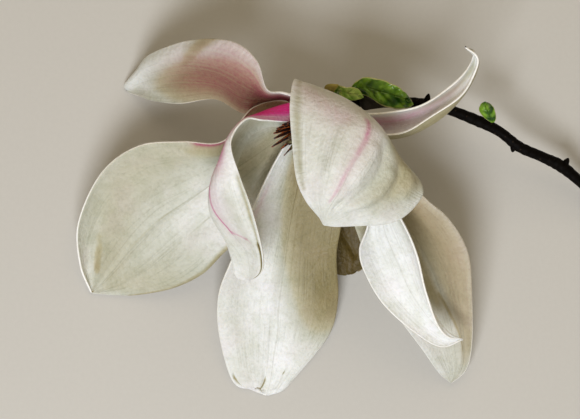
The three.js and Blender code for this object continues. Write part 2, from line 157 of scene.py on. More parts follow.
def ramp(start: float, end: float, x: Array) -> Array:
    """Step smoothly from 0 at start to 1 at end."""
    f = np.clip((np.asarray(x, float) - start) / (end - start), 0, 1)
    return f * f * (3 - 2 * f)


def about_axis(height: float, radius: float = 0.0, angle: float = 0.0) -> Array:
    """Find a point by its place about the flower's axis.

    Args:
        height: How far up the axis it is.
        radius: How far from the axis it is.
        angle: The side of the axis that it is on, in degrees.

    Returns:
        The point in millimetres.
    """
    turn = angle * DEG
    sideways = math.cos(turn) * ACROSS + math.sin(turn) * UPWARD
    return FLOWER_FOOT + height * FLOWER_AXIS + radius * sideways


def line_distance(u: Array, v: Array, path: Line) -> tuple[Array, Array]:
    """Measure how far points of a blade are from a line drawn on it.

    Args:
        u: Places across the blade, 0 to 1.
        v: Places along the blade, 0 to 1.
        path: Corners of the line, each an across and an along.

    Returns:
        The distance in units of the blade's width, taking it as twice as long as wide, and how
        far along the line the nearest point is, 0 to 1.
    """
    best = np.full(u.shape, np.inf)
    reach = np.zeros(u.shape)
    spans = len(path) - 1
    for k, ((u0, v0), (u1, v1)) in enumerate(zip(path, path[1:])):
        du, dv = u1 - u0, 2 * (v1 - v0)
        f = np.clip(((u - u0) * du + 2 * (v - v0) * dv) / (du * du + dv * dv), 0, 1)
        away = np.hypot(u - u0 - f * du, 2 * (v - v0) - f * dv)
        nearer = away < best
        best = np.where(nearer, away, best)
        reach = np.where(nearer, (k + f) / spans, reach)
    return best, reach


# ------------------------------------------------------------------ materials


def linear(code: str) -> tuple[float, float, float, float]:
    """Turn an sRGB hex colour into linear values with full alpha."""
    parts = [int(code[k : k + 2], 16) / 255 for k in (1, 3, 5)]
    return (*(c / 12.92 if c <= 0.04045 else ((c + 0.055) / 1.055) ** 2.4 for c in parts), 1.0)


class Canvas:
    """The nodes of one material, with the places that its patterns read."""

    def __init__(self, tree: bpy.types.NodeTree) -> None:
        """Clear the nodes and add the places.

        Args:
            tree: The material's nodes.
        """
        self.tree = tree
        tree.nodes.clear()
        self.spot = self.add("TexCoord", out="Object")  # in the part, in metres
        self.uv = self.spot.node.outputs["UV"]  # on the piece's UV map, across and along
        self.across = self.add("SeparateXYZ", self.uv, out="X")
        self.along = self.across.node.outputs["Y"]
        off_middle = self.add("Math", self.across, MIDDLE, operation="SUBTRACT")
        self.side = self.add("Math", off_middle, operation="ABSOLUTE")  # 0.5 at the margins

    def add(
        self,
        kind: str,
        *feeds: Feed,
        out: str = "",
        named: dict[str, Feed] | None = None,
        stops: Stops = (),
        **settings: object,
    ) -> Socket | None:
        """Add a shader node with its settings and links.

        Args:
            kind: The node's type, without the word that every type starts with.
            feeds: For each input that is in use, in order, a value, a hex colour or the socket
                that is linked to it. None leaves an input as it is.
            out: The output that is wanted, where it isn't the first.
            named: Feeds for inputs by name.
            stops: Positions and hex colours of a colour ramp, in order.
            settings: The node's own properties.

        Returns:
            The output's socket, where the node has one.
        """
        node = self.tree.nodes.new("ShaderNode" + kind)
        for key, value in settings.items():
            setattr(node, key, value)
        for number, (position, code) in enumerate(stops):
            marks = node.color_ramp.elements
            mark = marks[number] if number < len(marks) else marks.new(position)
            mark.position, mark.color = position, linear(code)
        pairs = [*zip([socket for socket in node.inputs if socket.enabled], feeds)]
        pairs += [(node.inputs[key], feed) for key, feed in (named or {}).items()]
        for socket, feed in pairs:
            if isinstance(feed, Socket):
                self.tree.links.new(feed, socket)
            elif feed is not None:
                socket.default_value = linear(feed) if isinstance(feed, str) else feed
        outputs = [socket for socket in node.outputs if socket.enabled]
        return node.outputs[out] if out else next(iter(outputs), None)


class Face(Enum):
    """The two faces of a tepal."""

    INNER = "inner"
    OUTER = "outer"


class Pigment(Enum):
    """What is painted on a tepal over its cream white: rose pigment, and painted shade."""

    PINK = "pink"
    # painted shade: a dull warm grey to olive brown laid where hollows, folds and turned-away sides fall in
    # shade
    TAN = "painted_shade"

    def layer(self, face: Face) -> str:
        """Name the attribute that holds how much of it is on a face."""
        return f"{self.value}_{face.value}"


class Finish:
    """A finish of the flower or its twig, which becomes a material of its own name."""

    name: str

    def sockets(self, canvas: Canvas) -> dict[str, Feed]:
        """Add the finish's own nodes.

        Args:
            canvas: The material's nodes.

        Returns:
            What each of the shader's inputs gets.
        """
        raise NotImplementedError

    def make(self) -> bpy.types.Material:
        """Build the material.

        Returns:
            The new material.
        """
        material = bpy.data.materials.new(self.name)
        material.use_nodes = True
        canvas = Canvas(material.node_tree)
        shader = canvas.add("BsdfPrincipled", named=self.sockets(canvas))
        canvas.add("OutputMaterial", shader)
        return material


@dataclass(frozen=True)
class Tint:
    """A colour that lies over a skin where a pattern rises from one value to another."""

    colour: str
    start: float
    end: float
    most: float = 1.0

    def lay(self, canvas: Canvas, skin: Feed, pattern: Socket) -> Socket:
        """Lay the colour over a skin.

        Args:
            canvas: The material's nodes.
            skin: The skin's colour.
            pattern: What says where the colour lies.

        Returns:
            The new colour.
        """
        steps = (pattern, self.start, self.end, 0.0, self.most)
        share = canvas.add("MapRange", *steps, interpolation_type="SMOOTHSTEP")
        return canvas.add("Mix", share, skin, self.colour, data_type="RGBA")


# Painted shade over living skin, from a faint warm grey to a deep olive brown.
PAINTED_SHADE_STOPS: Stops = (
    (0.0, "#FFFFFF"),
    (0.28, "#D2D1C2"),
    (0.38, "#C4BC9E"),
    (0.5, "#AEA27E"),
    (0.65, "#908050"),
    (0.8, "#766534"),
    (1.0, "#62501E"),
)
MOST_PAINTED_SHADE = 1.6


def darken_by_painted_shade(canvas: Canvas, skin: Socket, amount: Socket) -> Socket:
    """Darken a colour by painted shade.

    Args:
        canvas: The material's nodes.
        skin: The colour.
        amount: How much shade is painted, from 0.

    Returns:
        The darkened colour.
    """
    share = canvas.add("Math", amount, MOST_PAINTED_SHADE, operation="DIVIDE")
    tint = canvas.add("ValToRGB", share, stops=PAINTED_SHADE_STOPS)
    return canvas.add("Mix", 1.0, skin, tint, data_type="RGBA", blend_type="MULTIPLY")


def weighted_sum(canvas: Canvas, total: float, layers: Sequence[tuple[Socket, float]]) -> Feed:
    """Add up layers of a pattern.

    Args:
        canvas: The material's nodes.
        total: What the sum starts from.
        layers: Each layer and its weight.

    Returns:
        The sum.
    """
    for layer, weight in layers:
        total = canvas.add("Math", layer, weight, total, operation="MULTIPLY_ADD")
    return total


@dataclass(frozen=True)
class TepalFinish(Finish):
    """Fleshy living tepal: waxy, faintly velvety skin over soft tissue that light sinks into.

    Thin wandering veins converge on the claw, the skin between them lies in long soft folds and is
    puckered like crepe, most at the margins. It gives the eye a silky white with grey-green and
    lilac clouds, and a rose that fades in broken streaks. Painted shade darkens its hollows, folds
    and shaded sides, and a painted highlight runs along its margins.
    """

    face: Face
    cream: str = "#F3F3F0"
    shade: Tint = Tint("#E7E8E0", 0.35, 0.75)
    green: Tint = Tint("#CDD1C1", 0.4, 0.75, 0.22)
    lilac: Tint = Tint("#EADDE6", 0.5, 0.25, 0.3)
    # painted highlight: a near-white line along the margins of each face
    rim: Tint = Tint("#FBF8EE", 0.492, 0.499)
    vein: str = "#A3A38C"
    rose: Stops = (
        (0.0, "#EFE0E5"), (0.3, "#DFB4C3"), (0.55, "#D580A9"), (0.8, "#DE4496"), (1.0, "#DE2482"),
    )
    blade_mm: tuple[float, float] = (52.0, 84.0)  # a usual tepal's width and length
    # Patterns that follow the blade: sizes in mm across and along it, and layers of detail.
    vein_grain: Point = (4.0, 93.333, 1.0)
    streak_grain: Point = (1.6667, 42.0, 4.0)
    fold_grain: Point = (8.6667, 105.0, 2.0)
    crinkle_grain: Point = (17.333, 1.2, 2.0)
    crepe_mm: float = 1.2
    cloud_mm: float = 4.5
    drift_mm: float = 12.857
    relief_mm: float = 0.6
    crinkled: tuple[float, float] = (0.34, 0.5)  # where, off the midrib, the margin is crinkled
    vein_band: tuple[float, float] = (0.03, 0.004)  # where a vein fades in, off the noise's middle
    rib_band: tuple[float, float] = (0.012, 0.003)  # half widths, in shares of the blade's width
    wander: float = 0.04  # how far the midrib bends, in the same shares
    vein_share: float = 0.24  # how much of their colour the veins give to the skin
    crepe_share: float = 0.15  # and how much of it the puckers give
    rose_cover: float = 2.2  # the rose hides the skin where this times its amount is 1

    @property
    def name(self) -> str:
        """Name it for its side of the tepal."""
        return f"living_tepal_{self.face.value}_skin"

    def sockets(self, canvas: Canvas) -> dict[str, Feed]:
        """Mix the skin, its pigments and its relief.

        Args:
            canvas: The material's nodes.

        Returns:
            What each of the shader's inputs gets.
        """
        crepe, cloud, drift = (
            canvas.add("TexNoise", canvas.spot, 1 / (size * MM), detail)
            for size, detail in ((self.crepe_mm, 4.0), (self.cloud_mm, 5.0), (self.drift_mm, 4.0))
        )
        lengthwise = []
        for grain in (self.vein_grain, self.streak_grain, self.fold_grain, self.crinkle_grain):
            scale = (self.blade_mm[0] / grain[0], self.blade_mm[1] / grain[1], 1.0)
            stretched = canvas.add("Mapping", canvas.uv, None, None, scale)
            lengthwise.append(canvas.add("TexNoise", stretched, 1.0, grain[2]))
        field, streak, fold, crinkle = lengthwise
        vein = self._veins(canvas, field, drift)
        skin = self._skin(canvas, cloud, drift, crepe, vein)
        # paint a highlight along the margins
        skin = self.rim.lay(canvas, skin, canvas.side)
        near = canvas.add("MapRange", canvas.side, *self.crinkled, interpolation_type="SMOOTHSTEP")
        margin = canvas.add("Math", crinkle, near, operation="MULTIPLY")
        layers = ((crepe, 1.5), (margin, 2.0), (streak, 0.6), (fold, 2.6), (vein, 0.3))
        height = weighted_sum(canvas, 0.0, layers)
        return {
            "Base Color": self._pigments(canvas, skin, streak, crepe),
            "Roughness": weighted_sum(canvas, 0.36, ((cloud, 0.2),)),
            "Normal": canvas.add("Bump", 0.4, self.relief_mm * MM, None, height),
            "IOR": 1.42,
            "Specular IOR Level": 0.4,
            "Subsurface Weight": 0.15,
            "Subsurface Radius": (1.0, 0.85, 0.65),
            "Subsurface Scale": 1.2 * MM,
            "Sheen Weight": 0.05,
        }

    def _skin(self, canvas: Canvas, cloud: Socket, drift: Socket, crepe: Socket, vein: Socket) -> Socket:
        """Mix the unpainted skin's colour.

        Args:
            canvas: The material's nodes.
            cloud: Noise of the small clouds.
            drift: Noise of the large clouds.
            crepe: Noise of the puckered skin.
            vein: How much of a vein is at a point.

        Returns:
            The colour.
        """
        skin = self.shade.lay(canvas, self.cream, cloud)
        skin = self.lilac.lay(canvas, self.green.lay(canvas, skin, drift), drift)
        steps = (crepe, 0.45, 0.7, 0.0, self.crepe_share)
        fine = canvas.add("MapRange", *steps, interpolation_type="SMOOTHSTEP")
        share = canvas.add(
            "Math", vein, self.vein_share, fine, operation="MULTIPLY_ADD", use_clamp=True
        )
        return canvas.add("Mix", share, skin, self.vein, data_type="RGBA")

    def _pigments(self, canvas: Canvas, skin: Socket, streak: Socket, crepe: Socket) -> Socket:
        """Lay the painted rose and the painted shade over the skin, the rose broken up by streaks.

        Args:
            canvas: The material's nodes.
            skin: The skin's colour.
            streak: Noise of the long streaks.
            crepe: Noise of the puckered skin.

        Returns:
            The colour.
        """
        broken = weighted_sum(canvas, 0.2, ((streak, 1.1), (crepe, 0.5)))
        rose, shade_amount = (
            canvas.add("Attribute", out="Fac", attribute_name=pigment.layer(self.face))
            for pigment in Pigment
        )
        rose = canvas.add("Math", rose, broken, operation="MULTIPLY", use_clamp=True)
        cover = canvas.add("Math", rose, self.rose_cover, operation="MULTIPLY", use_clamp=True)
        tint = canvas.add("ValToRGB", rose, stops=self.rose)
        skin = canvas.add("Mix", cover, skin, tint, data_type="RGBA")
        return darken_by_painted_shade(canvas, skin, shade_amount)

    def _veins(self, canvas: Canvas, field: Socket, drift: Socket) -> Socket:
        """Draw the midrib and the side veins.

        Args:
            canvas: The material's nodes.
            field: Noise stretched along the blade, whose middle value is drawn as lines.
            drift: Noise that bends the midrib and makes the side veins come and go.

        Returns:
            How much of a vein is at a point.
        """
        off_line = canvas.add("Math", field, 0.5, operation="SUBTRACT")
        off_line = canvas.add("Math", off_line, operation="ABSOLUTE")
        thin = canvas.add(
            "MapRange", off_line, *self.vein_band, 0.0, 0.7, interpolation_type="SMOOTHSTEP"
        )
        shown = canvas.add("MapRange", drift, 0.35, 0.6, interpolation_type="SMOOTHSTEP")
        line = canvas.add("Math", thin, shown, operation="MULTIPLY")
        bent = canvas.add("Math", drift, self.wander, canvas.across, operation="MULTIPLY_ADD")
        off_rib = canvas.add("Math", bent, MIDDLE + self.wander / 2, operation="SUBTRACT")
        off_rib = canvas.add("Math", off_rib, operation="ABSOLUTE")
        rib = canvas.add("MapRange", off_rib, *self.rib_band, interpolation_type="SMOOTHSTEP")
        return canvas.add("Math", line, rib, operation="MAXIMUM")


@dataclass(frozen=True)
class MarginFinish(Finish):
    """Thin margin of a tepal, painted near white as a highlight for the bright line that light through the
    skin makes.
    """

    name: str = "painted_highlight_tepal_margin"
    # painted highlight: the margin's near-white colour
    light: str = "#FFFDF6"
    shade: Tint = Tint("#EFE9DC", 0.4, 0.8)
    grain_mm: float = 1.4286

    def sockets(self, canvas: Canvas) -> dict[str, Feed]:
        """Mix the pale margin, a painted highlight, darkened by painted shade where the blade beside it
        carries deep painted shade.

        Args:
            canvas: The material's nodes.

        Returns:
            What each of the shader's inputs gets.
        """
        grain = canvas.add("TexNoise", canvas.spot, 1 / (self.grain_mm * MM), 3.0)
        skin = self.shade.lay(canvas, self.light, grain)
        inner_shade = Pigment.TAN.layer(Face.INNER)
        painted = canvas.add("Attribute", out="Fac", attribute_name=inner_shade)
        # painted shade on the margin, where the blade's painted shade is deep
        deep = canvas.add("Math", painted, 0.6, operation="SUBTRACT")
        deep = canvas.add("Math", deep, 1.5, operation="MULTIPLY")
        return {"Base Color": darken_by_painted_shade(canvas, skin, deep), "Roughness": 0.35}


@dataclass(frozen=True)
class LeafFinish(Finish):
    """Young magnolia leaf: thin glossy skin, puckered between net veins, with a pale rim and a painted
    highlight on the top of each pucker.
    """

    name: str
    green: str = "#265608"
    deep: str = "#0E2C03"
    # painted highlight on the tops of the puckers; also the rib's own pale green
    light: str = "#84AE34"
    rim: str = "#C4C47C"
    pucker_mm: float = 2.4
    patch_mm: float = 2.2222
    rib_share: float = 1 / 26  # the rib's half width, as a share of the leaf's width
    relief_mm: float = 1.2

    def sockets(self, canvas: Canvas) -> dict[str, Feed]:
        """Mix the puckered skin with a painted highlight on each pucker's top, its rib and its rim.

        Args:
            canvas: The material's nodes.

        Returns:
            What each of the shader's inputs gets.
        """
        scale = 1 / (self.pucker_mm * MM)
        cells = canvas.add("TexVoronoi", canvas.spot, scale, feature="SMOOTH_F1")
        patch = canvas.add("TexNoise", canvas.spot, 1 / (self.patch_mm * MM), 3.0)
        rib = canvas.add("MapRange", canvas.side, 0.0, self.rib_share, 1.0, 0.0)
        # painted highlight: light green at each pucker's raised middle, going to green at its sides
        skin = Tint(self.green, 0.2, 0.7).lay(canvas, self.light, cells)
        skin = Tint(self.deep, 0.45, 0.75, 0.5).lay(canvas, skin, patch)
        skin = Tint(self.rim, 0.45, 0.48).lay(canvas, skin, canvas.side)
        share = canvas.add("Math", rib, 0.5, operation="MULTIPLY")
        height = weighted_sum(canvas, 0.0, ((cells, 1.0), (rib, 0.6)))
        relief = self.relief_mm * MM
        return {
            "Base Color": canvas.add("Mix", share, skin, self.light, data_type="RGBA"),
            "Normal": canvas.add("Bump", 0.9, relief, None, height, invert=True),
            "Roughness": 0.18,
            "Subsurface Weight": 0.1,
            "Subsurface Radius": (0.5, 1.0, 0.2),
            "Subsurface Scale": 0.8 * MM,
        }


@dataclass(frozen=True)
class BarkFinish(Finish):
    """Young magnolia bark: almost black brown, smooth, with fine rings and pale breathing pores."""

    name: str = "young_magnolia_bark"
    dark: str = "#040201"
    light: str = "#0E0906"
    pore: str = "#4A3A2A"
    grain_mm: float = 1.1111
    pore_mm: float = 2.381
    relief_mm: float = 0.3

    def sockets(self, canvas: Canvas) -> dict[str, Feed]:
        """Mix the grained bark and its pores.

        Args:
            canvas: The material's nodes.

        Returns:
            What each of the shader's inputs gets.
        """
        grain = canvas.add("TexNoise", canvas.spot, 1 / (self.grain_mm * MM), 6.0)
        skin = canvas.add("ValToRGB", grain, stops=((0.35, self.dark), (0.75, self.light)))
        pores = canvas.add("TexVoronoi", canvas.spot, 1 / (self.pore_mm * MM))
        dot = canvas.add("Math", pores, 0.13, operation="LESS_THAN")
        share = canvas.add("Math", dot, 0.3, operation="MULTIPLY")
        height = canvas.add("Math", grain, dot, operation="ADD")
        return {
            "Base Color": canvas.add("Mix", share, skin, self.pore, data_type="RGBA"),
            "Normal": canvas.add("Bump", 0.5, self.relief_mm * MM, None, height),
            "Roughness": 0.6,
            "Specular IOR Level": 0.06,
        }


@dataclass(frozen=True)
class GradedFinish(Finish):
    """Plant tissue whose colour changes along a piece: receptacle, carpels, scales and cut wood."""

    name: str
    stops: Stops
    roughness: float = 0.45
    grain_mm: float = 0.6
    relief_mm: float = 0.2

    def sockets(self, canvas: Canvas) -> dict[str, Feed]:
        """Grade the colour along the piece by its UV map, with a fine grain.

        Args:
            canvas: The material's nodes.

        Returns:
            What each of the shader's inputs gets.
        """
        grain = canvas.add("TexNoise", canvas.spot, 1 / (self.grain_mm * MM))
        place = weighted_sum(canvas, -0.1, ((grain, 0.2), (canvas.along, 1.0)))
        return {
            "Base Color": canvas.add("ValToRGB", place, stops=self.stops),
            "Normal": canvas.add("Bump", 0.4, self.relief_mm * MM, None, grain),
            "Roughness": self.roughness,
        }


@dataclass(frozen=True)
class StamenFinish(Finish):
    """Ripe stamen: a purple-black glossy strap whose thin edges glow orange-brown."""

    name: str = "ripe_stamen"
    dark: str = "#150505"
    edge: str = "#C2601A"
    grain_mm: float = 0.7143
    relief_mm: float = 0.2

    def sockets(self, canvas: Canvas) -> dict[str, Feed]:
        """Light up the edges, where the strap's UV map folds over.

        Args:
            canvas: The material's nodes.

        Returns:
            What each of the shader's inputs gets.
        """
        turn = canvas.add("Math", canvas.across, 2 * math.pi, operation="MULTIPLY")
        fold = canvas.add("Math", turn, operation="COSINE")
        fold = canvas.add("Math", fold, operation="ABSOLUTE")
        grain = canvas.add("TexNoise", canvas.spot, 1 / (self.grain_mm * MM), 3.0)
        thin, worn = (
            canvas.add("MapRange", pattern, start, end, interpolation_type="SMOOTHSTEP")
            for pattern, start, end in ((fold, 0.82, 1.0), (grain, 0.35, 0.6))
        )
        share = canvas.add("Math", thin, worn, operation="MULTIPLY")
        return {
            "Base Color": canvas.add("Mix", share, self.dark, self.edge, data_type="RGBA"),
            "Normal": canvas.add("Bump", 0.5, self.relief_mm * MM, None, grain),
            "Roughness": 0.35,
        }


@dataclass(frozen=True)
class CardFinish(Finish):
    """Matt card of the floor: pale, soft and evenly fibrous, so that shadows read on it."""

    name: str = "pale_matt_card"
    light: str = "#C9C5BC"
    shade: str = "#C4C0B7"
    fibre_mm: float = 1.4286

    def sockets(self, canvas: Canvas) -> dict[str, Feed]:
        """Mix the card's fibres.

        Args:
            canvas: The material's nodes.

        Returns:
            What each of the shader's inputs gets.
        """
        fibre = canvas.add("TexNoise", canvas.spot, 1 / (self.fibre_mm * MM), 4.0)
        colour = canvas.add("Mix", fibre, self.shade, self.light, data_type="RGBA")
        return {"Base Color": colour, "Roughness": 0.95}


# ------------------------------------------------------------------ the blades


# Points of each blade's middle surface: rows across it from its left margin, from the claw to
# the tip, where it ends in one point.
BLADES: dict[str, tuple[Station, ...]] = {
    "tepal_1": (
        ((-1.5, 35.5, 31), (-2.5, 37.5, 32), (-2.5, 39, 36)),
        ((-9.5, 35, 32), (-8.5, 37.5, 35), (-7.5, 40, 41)),
        ((-15.5, 32, 33), (-15.5, 39, 36), (-10.9, 49, 45)),
        ((-25, 37, 27), (-25, 44, 32), (-19, 55.5, 43)),
        ((-37.5, 36, 18), (-37, 45.5, 23), (-33.5, 56.5, 31)),
        ((-47, 37.5, 9), (-47, 44.5, 12.5), (-47.6, 52.9, 16)),
        ((-53, 39.5, 2.5), (-52.5, 43.5, 4.5), (-53, 48, 6.5)),
        ((-56, 40.5, 0.3), (-56.5, 42, 0.8), (-56.5, 44.5, 1.5)),
        ((-57, 42, 0.3),),
    ),
    "tepal_2": (
        ((0.5, 23.5, 27), (-1.5, 25.5, 28), (-1.2, 36.2, 33)),
        ((-3.5, 10, 21), (-13, 17.5, 26), (-12.3, 33.8, 35)),
        ((-12, -5.5, 17), (-24.5, 10, 22), (-22.5, 23, 34)),
        ((-22, -14, 13), (-35, 2.5, 18), (-36, 23, 30)),
        ((-30, -22, 9), (-44.5, -4, 13.5), (-51, 21.5, 26)),
        ((-40.5, -27, 5), (-53.5, -12.5, 9), (-64, 12.5, 20)),
        ((-53, -29.5, 2), (-61, -21, 4), (-72.5, -4.5, 13)),
        ((-61.5, -29.5, 0.8), (-65.5, -26, 1.5), (-72.5, -19, 6)),
        ((-69, -29, 1),),
    ),
    "tepal_3": (
        ((0, 28.5, 33), (0, 35, 36), (0.5, 29.5, 38.4)),
        ((-9, 27, 35), (-8.5, 32.2, 41), (-8.5, 29.5, 47)),
        ((-13.5, 23, 37), (-15.2, 27.8, 46), (-14.6, 29.6, 53)),
        ((-17, 16.5, 39), (-20, 20.5, 51), (-19, 22.2, 57)),
        ((-20.5, 6.5, 40), (-25, 9.5, 51), (-16, 11, 57)),
        ((-23.5, -1.5, 38), (-25, 1, 47), (-12.5, 1, 53)),
        ((-21.5, -9.5, 36), (-19.5, -7, 43), (-10, -8.5, 47)),
        ((-19.5, -17, 33), (-14.5, -13.5, 38), (-9, -16, 40)),
        ((-18, -22.5, 31), (-13.5, -20, 33), (-9.5, -21, 35)),
        ((-13.5, -24, 30.5),),
    ),
    "tepal_4": (
        ((11.5, 20, 31), (5.5, 23.5, 29), (-1, 22.5, 33)),
        ((15, 10.5, 27), (4, 13.5, 26.5), (-6.5, 13, 32)),
        ((17.5, -2, 21), (1, 1, 21.5), (-12.5, 0.5, 28)),
        ((15.8, -15.5, 14), (-1.5, -15.5, 15.5), (-19.5, -16, 21)),
        ((16.5, -31, 7.5), (-3.5, -31, 9.5), (-24.5, -29, 13.5)),
        ((13, -44, 2.5), (-5, -45.5, 4), (-24.5, -43, 7)),
        ((0.5, -59.5, 0.6), (-7, -60, 0.4), (-20, -59.3, 1.5)),
        ((-3, -63, 0.3), (-8, -63.6, 0.3), (-13, -62.6, 0.5)),
        ((-8, -64.6, 0.3),),
    ),
    "tepal_5": (
        ((5.5, 38.5, 43), (13, 37.5, 44), (20, 33.5, 40)),
        ((1.5, 42.5, 51), (20, 34.5, 55), (29, 26.5, 45)),
        ((0, 34.5, 57), (26, 27.5, 62), (36, 17, 48)),
        ((0.5, 23.5, 60), (23, 20, 65.5), (43, 7.6, 50)),
        ((2, 11, 60), (19, 12.5, 66), (41.5, 2, 51)),
        ((5, 3.5, 58.5), (15.5, 5.5, 64), (33.5, -4, 52)),
        ((8, -1, 57.5), (12.5, 0.5, 61), (20, -5.5, 54)),
        ((11, -5, 57),),
    ),
    "tepal_6": (
        ((18.5, 23, 37), (15.5, 20.5, 34.5), (10, 21, 33)),
        ((26.5, 13, 37), (21.5, 10.5, 33.5), (17, 10, 33)),
        ((32.5, 4, 37), (29, 1.5, 33.5), (25.8, -3, 32.5)),
        ((38, -5.5, 37), (32, -8, 31), (23.2, -13.5, 31)),
        ((42.5, -16, 35.5), (36.5, -18.5, 29), (25.2, -21.5, 29)),
        ((45.5, -27.5, 32.5), (41, -28, 27), (31.5, -32, 27)),
        ((49, -37, 29), (47, -36.5, 25), (42, -41.5, 25)),
        ((53.5, -42.5, 26), (53, -42.5, 24.5), (51, -46.5, 24)),
        ((58.5, -44, 24),),
    ),
    "tepal_7": (
        ((21, 24.5, 31.4), (17.5, 20.5, 29.2), (12.5, 23, 29.4)),
        ((33, 16.5, 31), (25.5, 11.5, 26.5), (15, 10, 25)),
        ((45, 4.5, 31), (35, 1.5, 25), (20.5, -2, 23)),
        ((53.5, -3, 30), (42.5, -9, 21), (25.5, -15.5, 20)),
        ((60, -14.5, 26), (49, -21.5, 16), (30.5, -27.5, 17)),
        ((62, -29, 20), (53.5, -34, 11), (37, -37, 13)),
        ((62.5, -44, 12), (56.5, -46, 6), (45, -47.5, 8)),
        ((61, -55, 5), (57.5, -54.5, 2.5), (51.5, -56.5, 3.5)),
        ((56, -60.5, 1.5),),
    ),
    "tepal_8": (
        ((20.5, 16.5, 17.4), (13.5, 15.5, 16.4), (7, 15.5, 17.4)),
        ((28, 4.5, 11), (18.5, 2, 9), (10, 1.5, 11)),
        ((29, -6.5, 6), (21, -9, 4.5), (12.5, -10.5, 6)),
        ((28, -16, 4), (22, -18, 3), (15, -19.5, 4)),
        ((25, -20.5, 3), (21.5, -21.5, 2.6), (16.5, -22.5, 3)),
        ((21, -22.5, 2.6),),
    ),
    "tepal_9": (
        ((20.5, 32.5, 38), (20, 32, 34), (20, 30.5, 31), (20, 27, 33), (20, 26.5, 38)),
        ((29, 31.5, 43), (29.5, 31, 36), (30, 28.5, 31), (30, 24, 35), (29, 25, 42)),
        ((37.5, 33, 44), (38, 32, 39), (39, 29.5, 35), (39.5, 25, 37.5), (37.5, 25.5, 43)),
        ((45.8, 36, 44), (46.2, 35.1, 40.5), (47.6, 32.8, 38), (48.6, 29.5, 39.5), (46, 30, 43)),
        ((53.2, 40.6, 44), (54, 40.2, 41.5), (55, 38.7, 40), (55.7, 36, 41), (54.7, 36, 44)),
        (
            (58.2, 46.3, 44),
            (58.6, 45.9, 43),
            (59.5, 44.5, 42),
            (60.2, 42.5, 42.5),
            (59.7, 42.5, 44),
        ),
        ((60.3, 51.8, 45), (60.6, 51.4, 44.5), (61, 50.2, 44), (61.7, 49, 44), (61.7, 49, 46)),
        ((57.5, 53.5, 47),),
    ),
    "leaf_large": (
        ((20.4, 38.3, 25.6), (20.9, 38.3, 26), (21.4, 38.3, 25.6)),
        ((20.4, 40.7, 31), (21.8, 40.1, 30.2), (22.8, 39.3, 29.8)),
        ((24, 43.8, 35), (25.4, 40.9, 33.5), (27.1, 37.6, 32.2)),
        ((29.3, 43.4, 37), (30, 39.5, 34.5), (30.4, 35.2, 33.5)),
        ((34.3, 41.6, 36.5), (34.7, 38.2, 34), (34.8, 33.9, 33)),
        ((38, 39.2, 35), (38.4, 36.9, 33.5), (38.8, 34.1, 32.5)),
        ((41.2, 35.2, 31.5),),
    ),
    "leaf_small": (
        ((15.3, 37.9, 27), (15.7, 37.9, 27.3), (16.1, 37.9, 27)),
        ((15, 41.6, 32.6), (16.1, 40, 31.4), (17.1, 37.7, 31)),
        ((18.6, 40.6, 36), (19.2, 38.9, 34.6), (19, 36.8, 33)),
        ((22, 40.4, 36.2), (22, 38.5, 35), (21.4, 36.7, 33.8)),
        ((24.5, 37.5, 34),),
    ),
    "leaf_scale": (
        ((12.8, 37.7, 27.94), (13.1, 37.7, 28.34), (13.5, 37.7, 27.94)),
        ((11.7, 39.4, 32.2), (12.9, 39, 33.2), (14.4, 39, 33)),
        ((12.2, 41.6, 34.6), (13.8, 40.9, 35.4), (15.3, 40.2, 35.2)),
        ((16.2, 41.5, 35.8),),
    ),
    "bud_scale": (
        ((23.6, 36.6, 26.4), (23.6, 36.2, 26.5), (23.6, 35.9, 26.4)),
        ((25.2, 38.8, 29), (25.5, 36.5, 28.4), (24.9, 33.5, 27.8)),
        ((27.3, 37.1, 29.8), (27.9, 35.4, 29), (27.6, 33.8, 28.4)),
        ((32.2, 34.4, 28.8),),
    ),
    "twig_leaf": (
        ((68.6, 29.8, 19.6), (68.9, 29.8, 19.9), (69.3, 29.8, 19.6)),
        ((66.5, 31, 20.8), (67.7, 31.7, 22.2), (69.7, 31, 20.8)),
        ((64.3, 33.4, 22.4), (66.6, 33.6, 24.2), (69.1, 33.7, 22.2)),
        ((64.6, 35.3, 23.4), (65.9, 35.1, 24.4), (68, 35.3, 23.2)),
        ((65.9, 36.3, 24),),
    ),
}


# ------------------------------------------------------------------ shaping


def take_up(*pieces: bpy.types.Object) -> None:
    """Select these pieces and nothing else, and make the first one active."""
    if bpy.context.object and bpy.context.object.mode != "OBJECT":
        bpy.ops.object.mode_set(mode="OBJECT")
    bpy.ops.object.select_all(action="DESELECT")
    for piece in pieces:
        piece.select_set(True)
    if pieces:
        bpy.context.view_layer.objects.active = pieces[0]


@contextmanager
def edited(piece: bpy.types.Object, select: str = "SELECT") -> Iterator[None]:
    """Open a piece in edit mode, and close it again when the block that uses it ends.

    Args:
        piece: The piece.
        select: SELECT to open it with all of it selected, DESELECT with nothing.

    Yields:
        Nothing, once the piece is open.
    """
    take_up(piece)
    bpy.ops.object.mode_set(mode="EDIT")
    bpy.ops.mesh.select_all(action=select)
    yield
    bpy.ops.object.mode_set(mode="OBJECT")


def shaped_grid(name: str, columns: int, rows: int, place: Surface) -> bpy.types.Object:
    """Add a grid and bend it into a surface.

    Args:
        name: The piece's name.
        columns: Faces across.
        rows: Faces along.
        place: Gives the points in millimetres for arrays of across and along, 0 to 1.

    Returns:
        The new object, with its place in its mesh and its UV map across and along.
    """
    take_up()
    bpy.ops.mesh.primitive_grid_add(x_subdivisions=columns, y_subdivisions=rows, size=1, calc_uvs=True)
    piece = bpy.context.object
    piece.name = piece.data.name = name
    flat = np.empty(len(piece.data.vertices) * 3)
    piece.data.vertices.foreach_get("co", flat)
    flat = flat.reshape(-1, 3)
    points = (place(flat[:, 0] + 0.5, flat[:, 1] + 0.5) - ORIGIN) * MM
    piece.data.vertices.foreach_set("co", points.ravel())
    piece.data.update()
    return piece


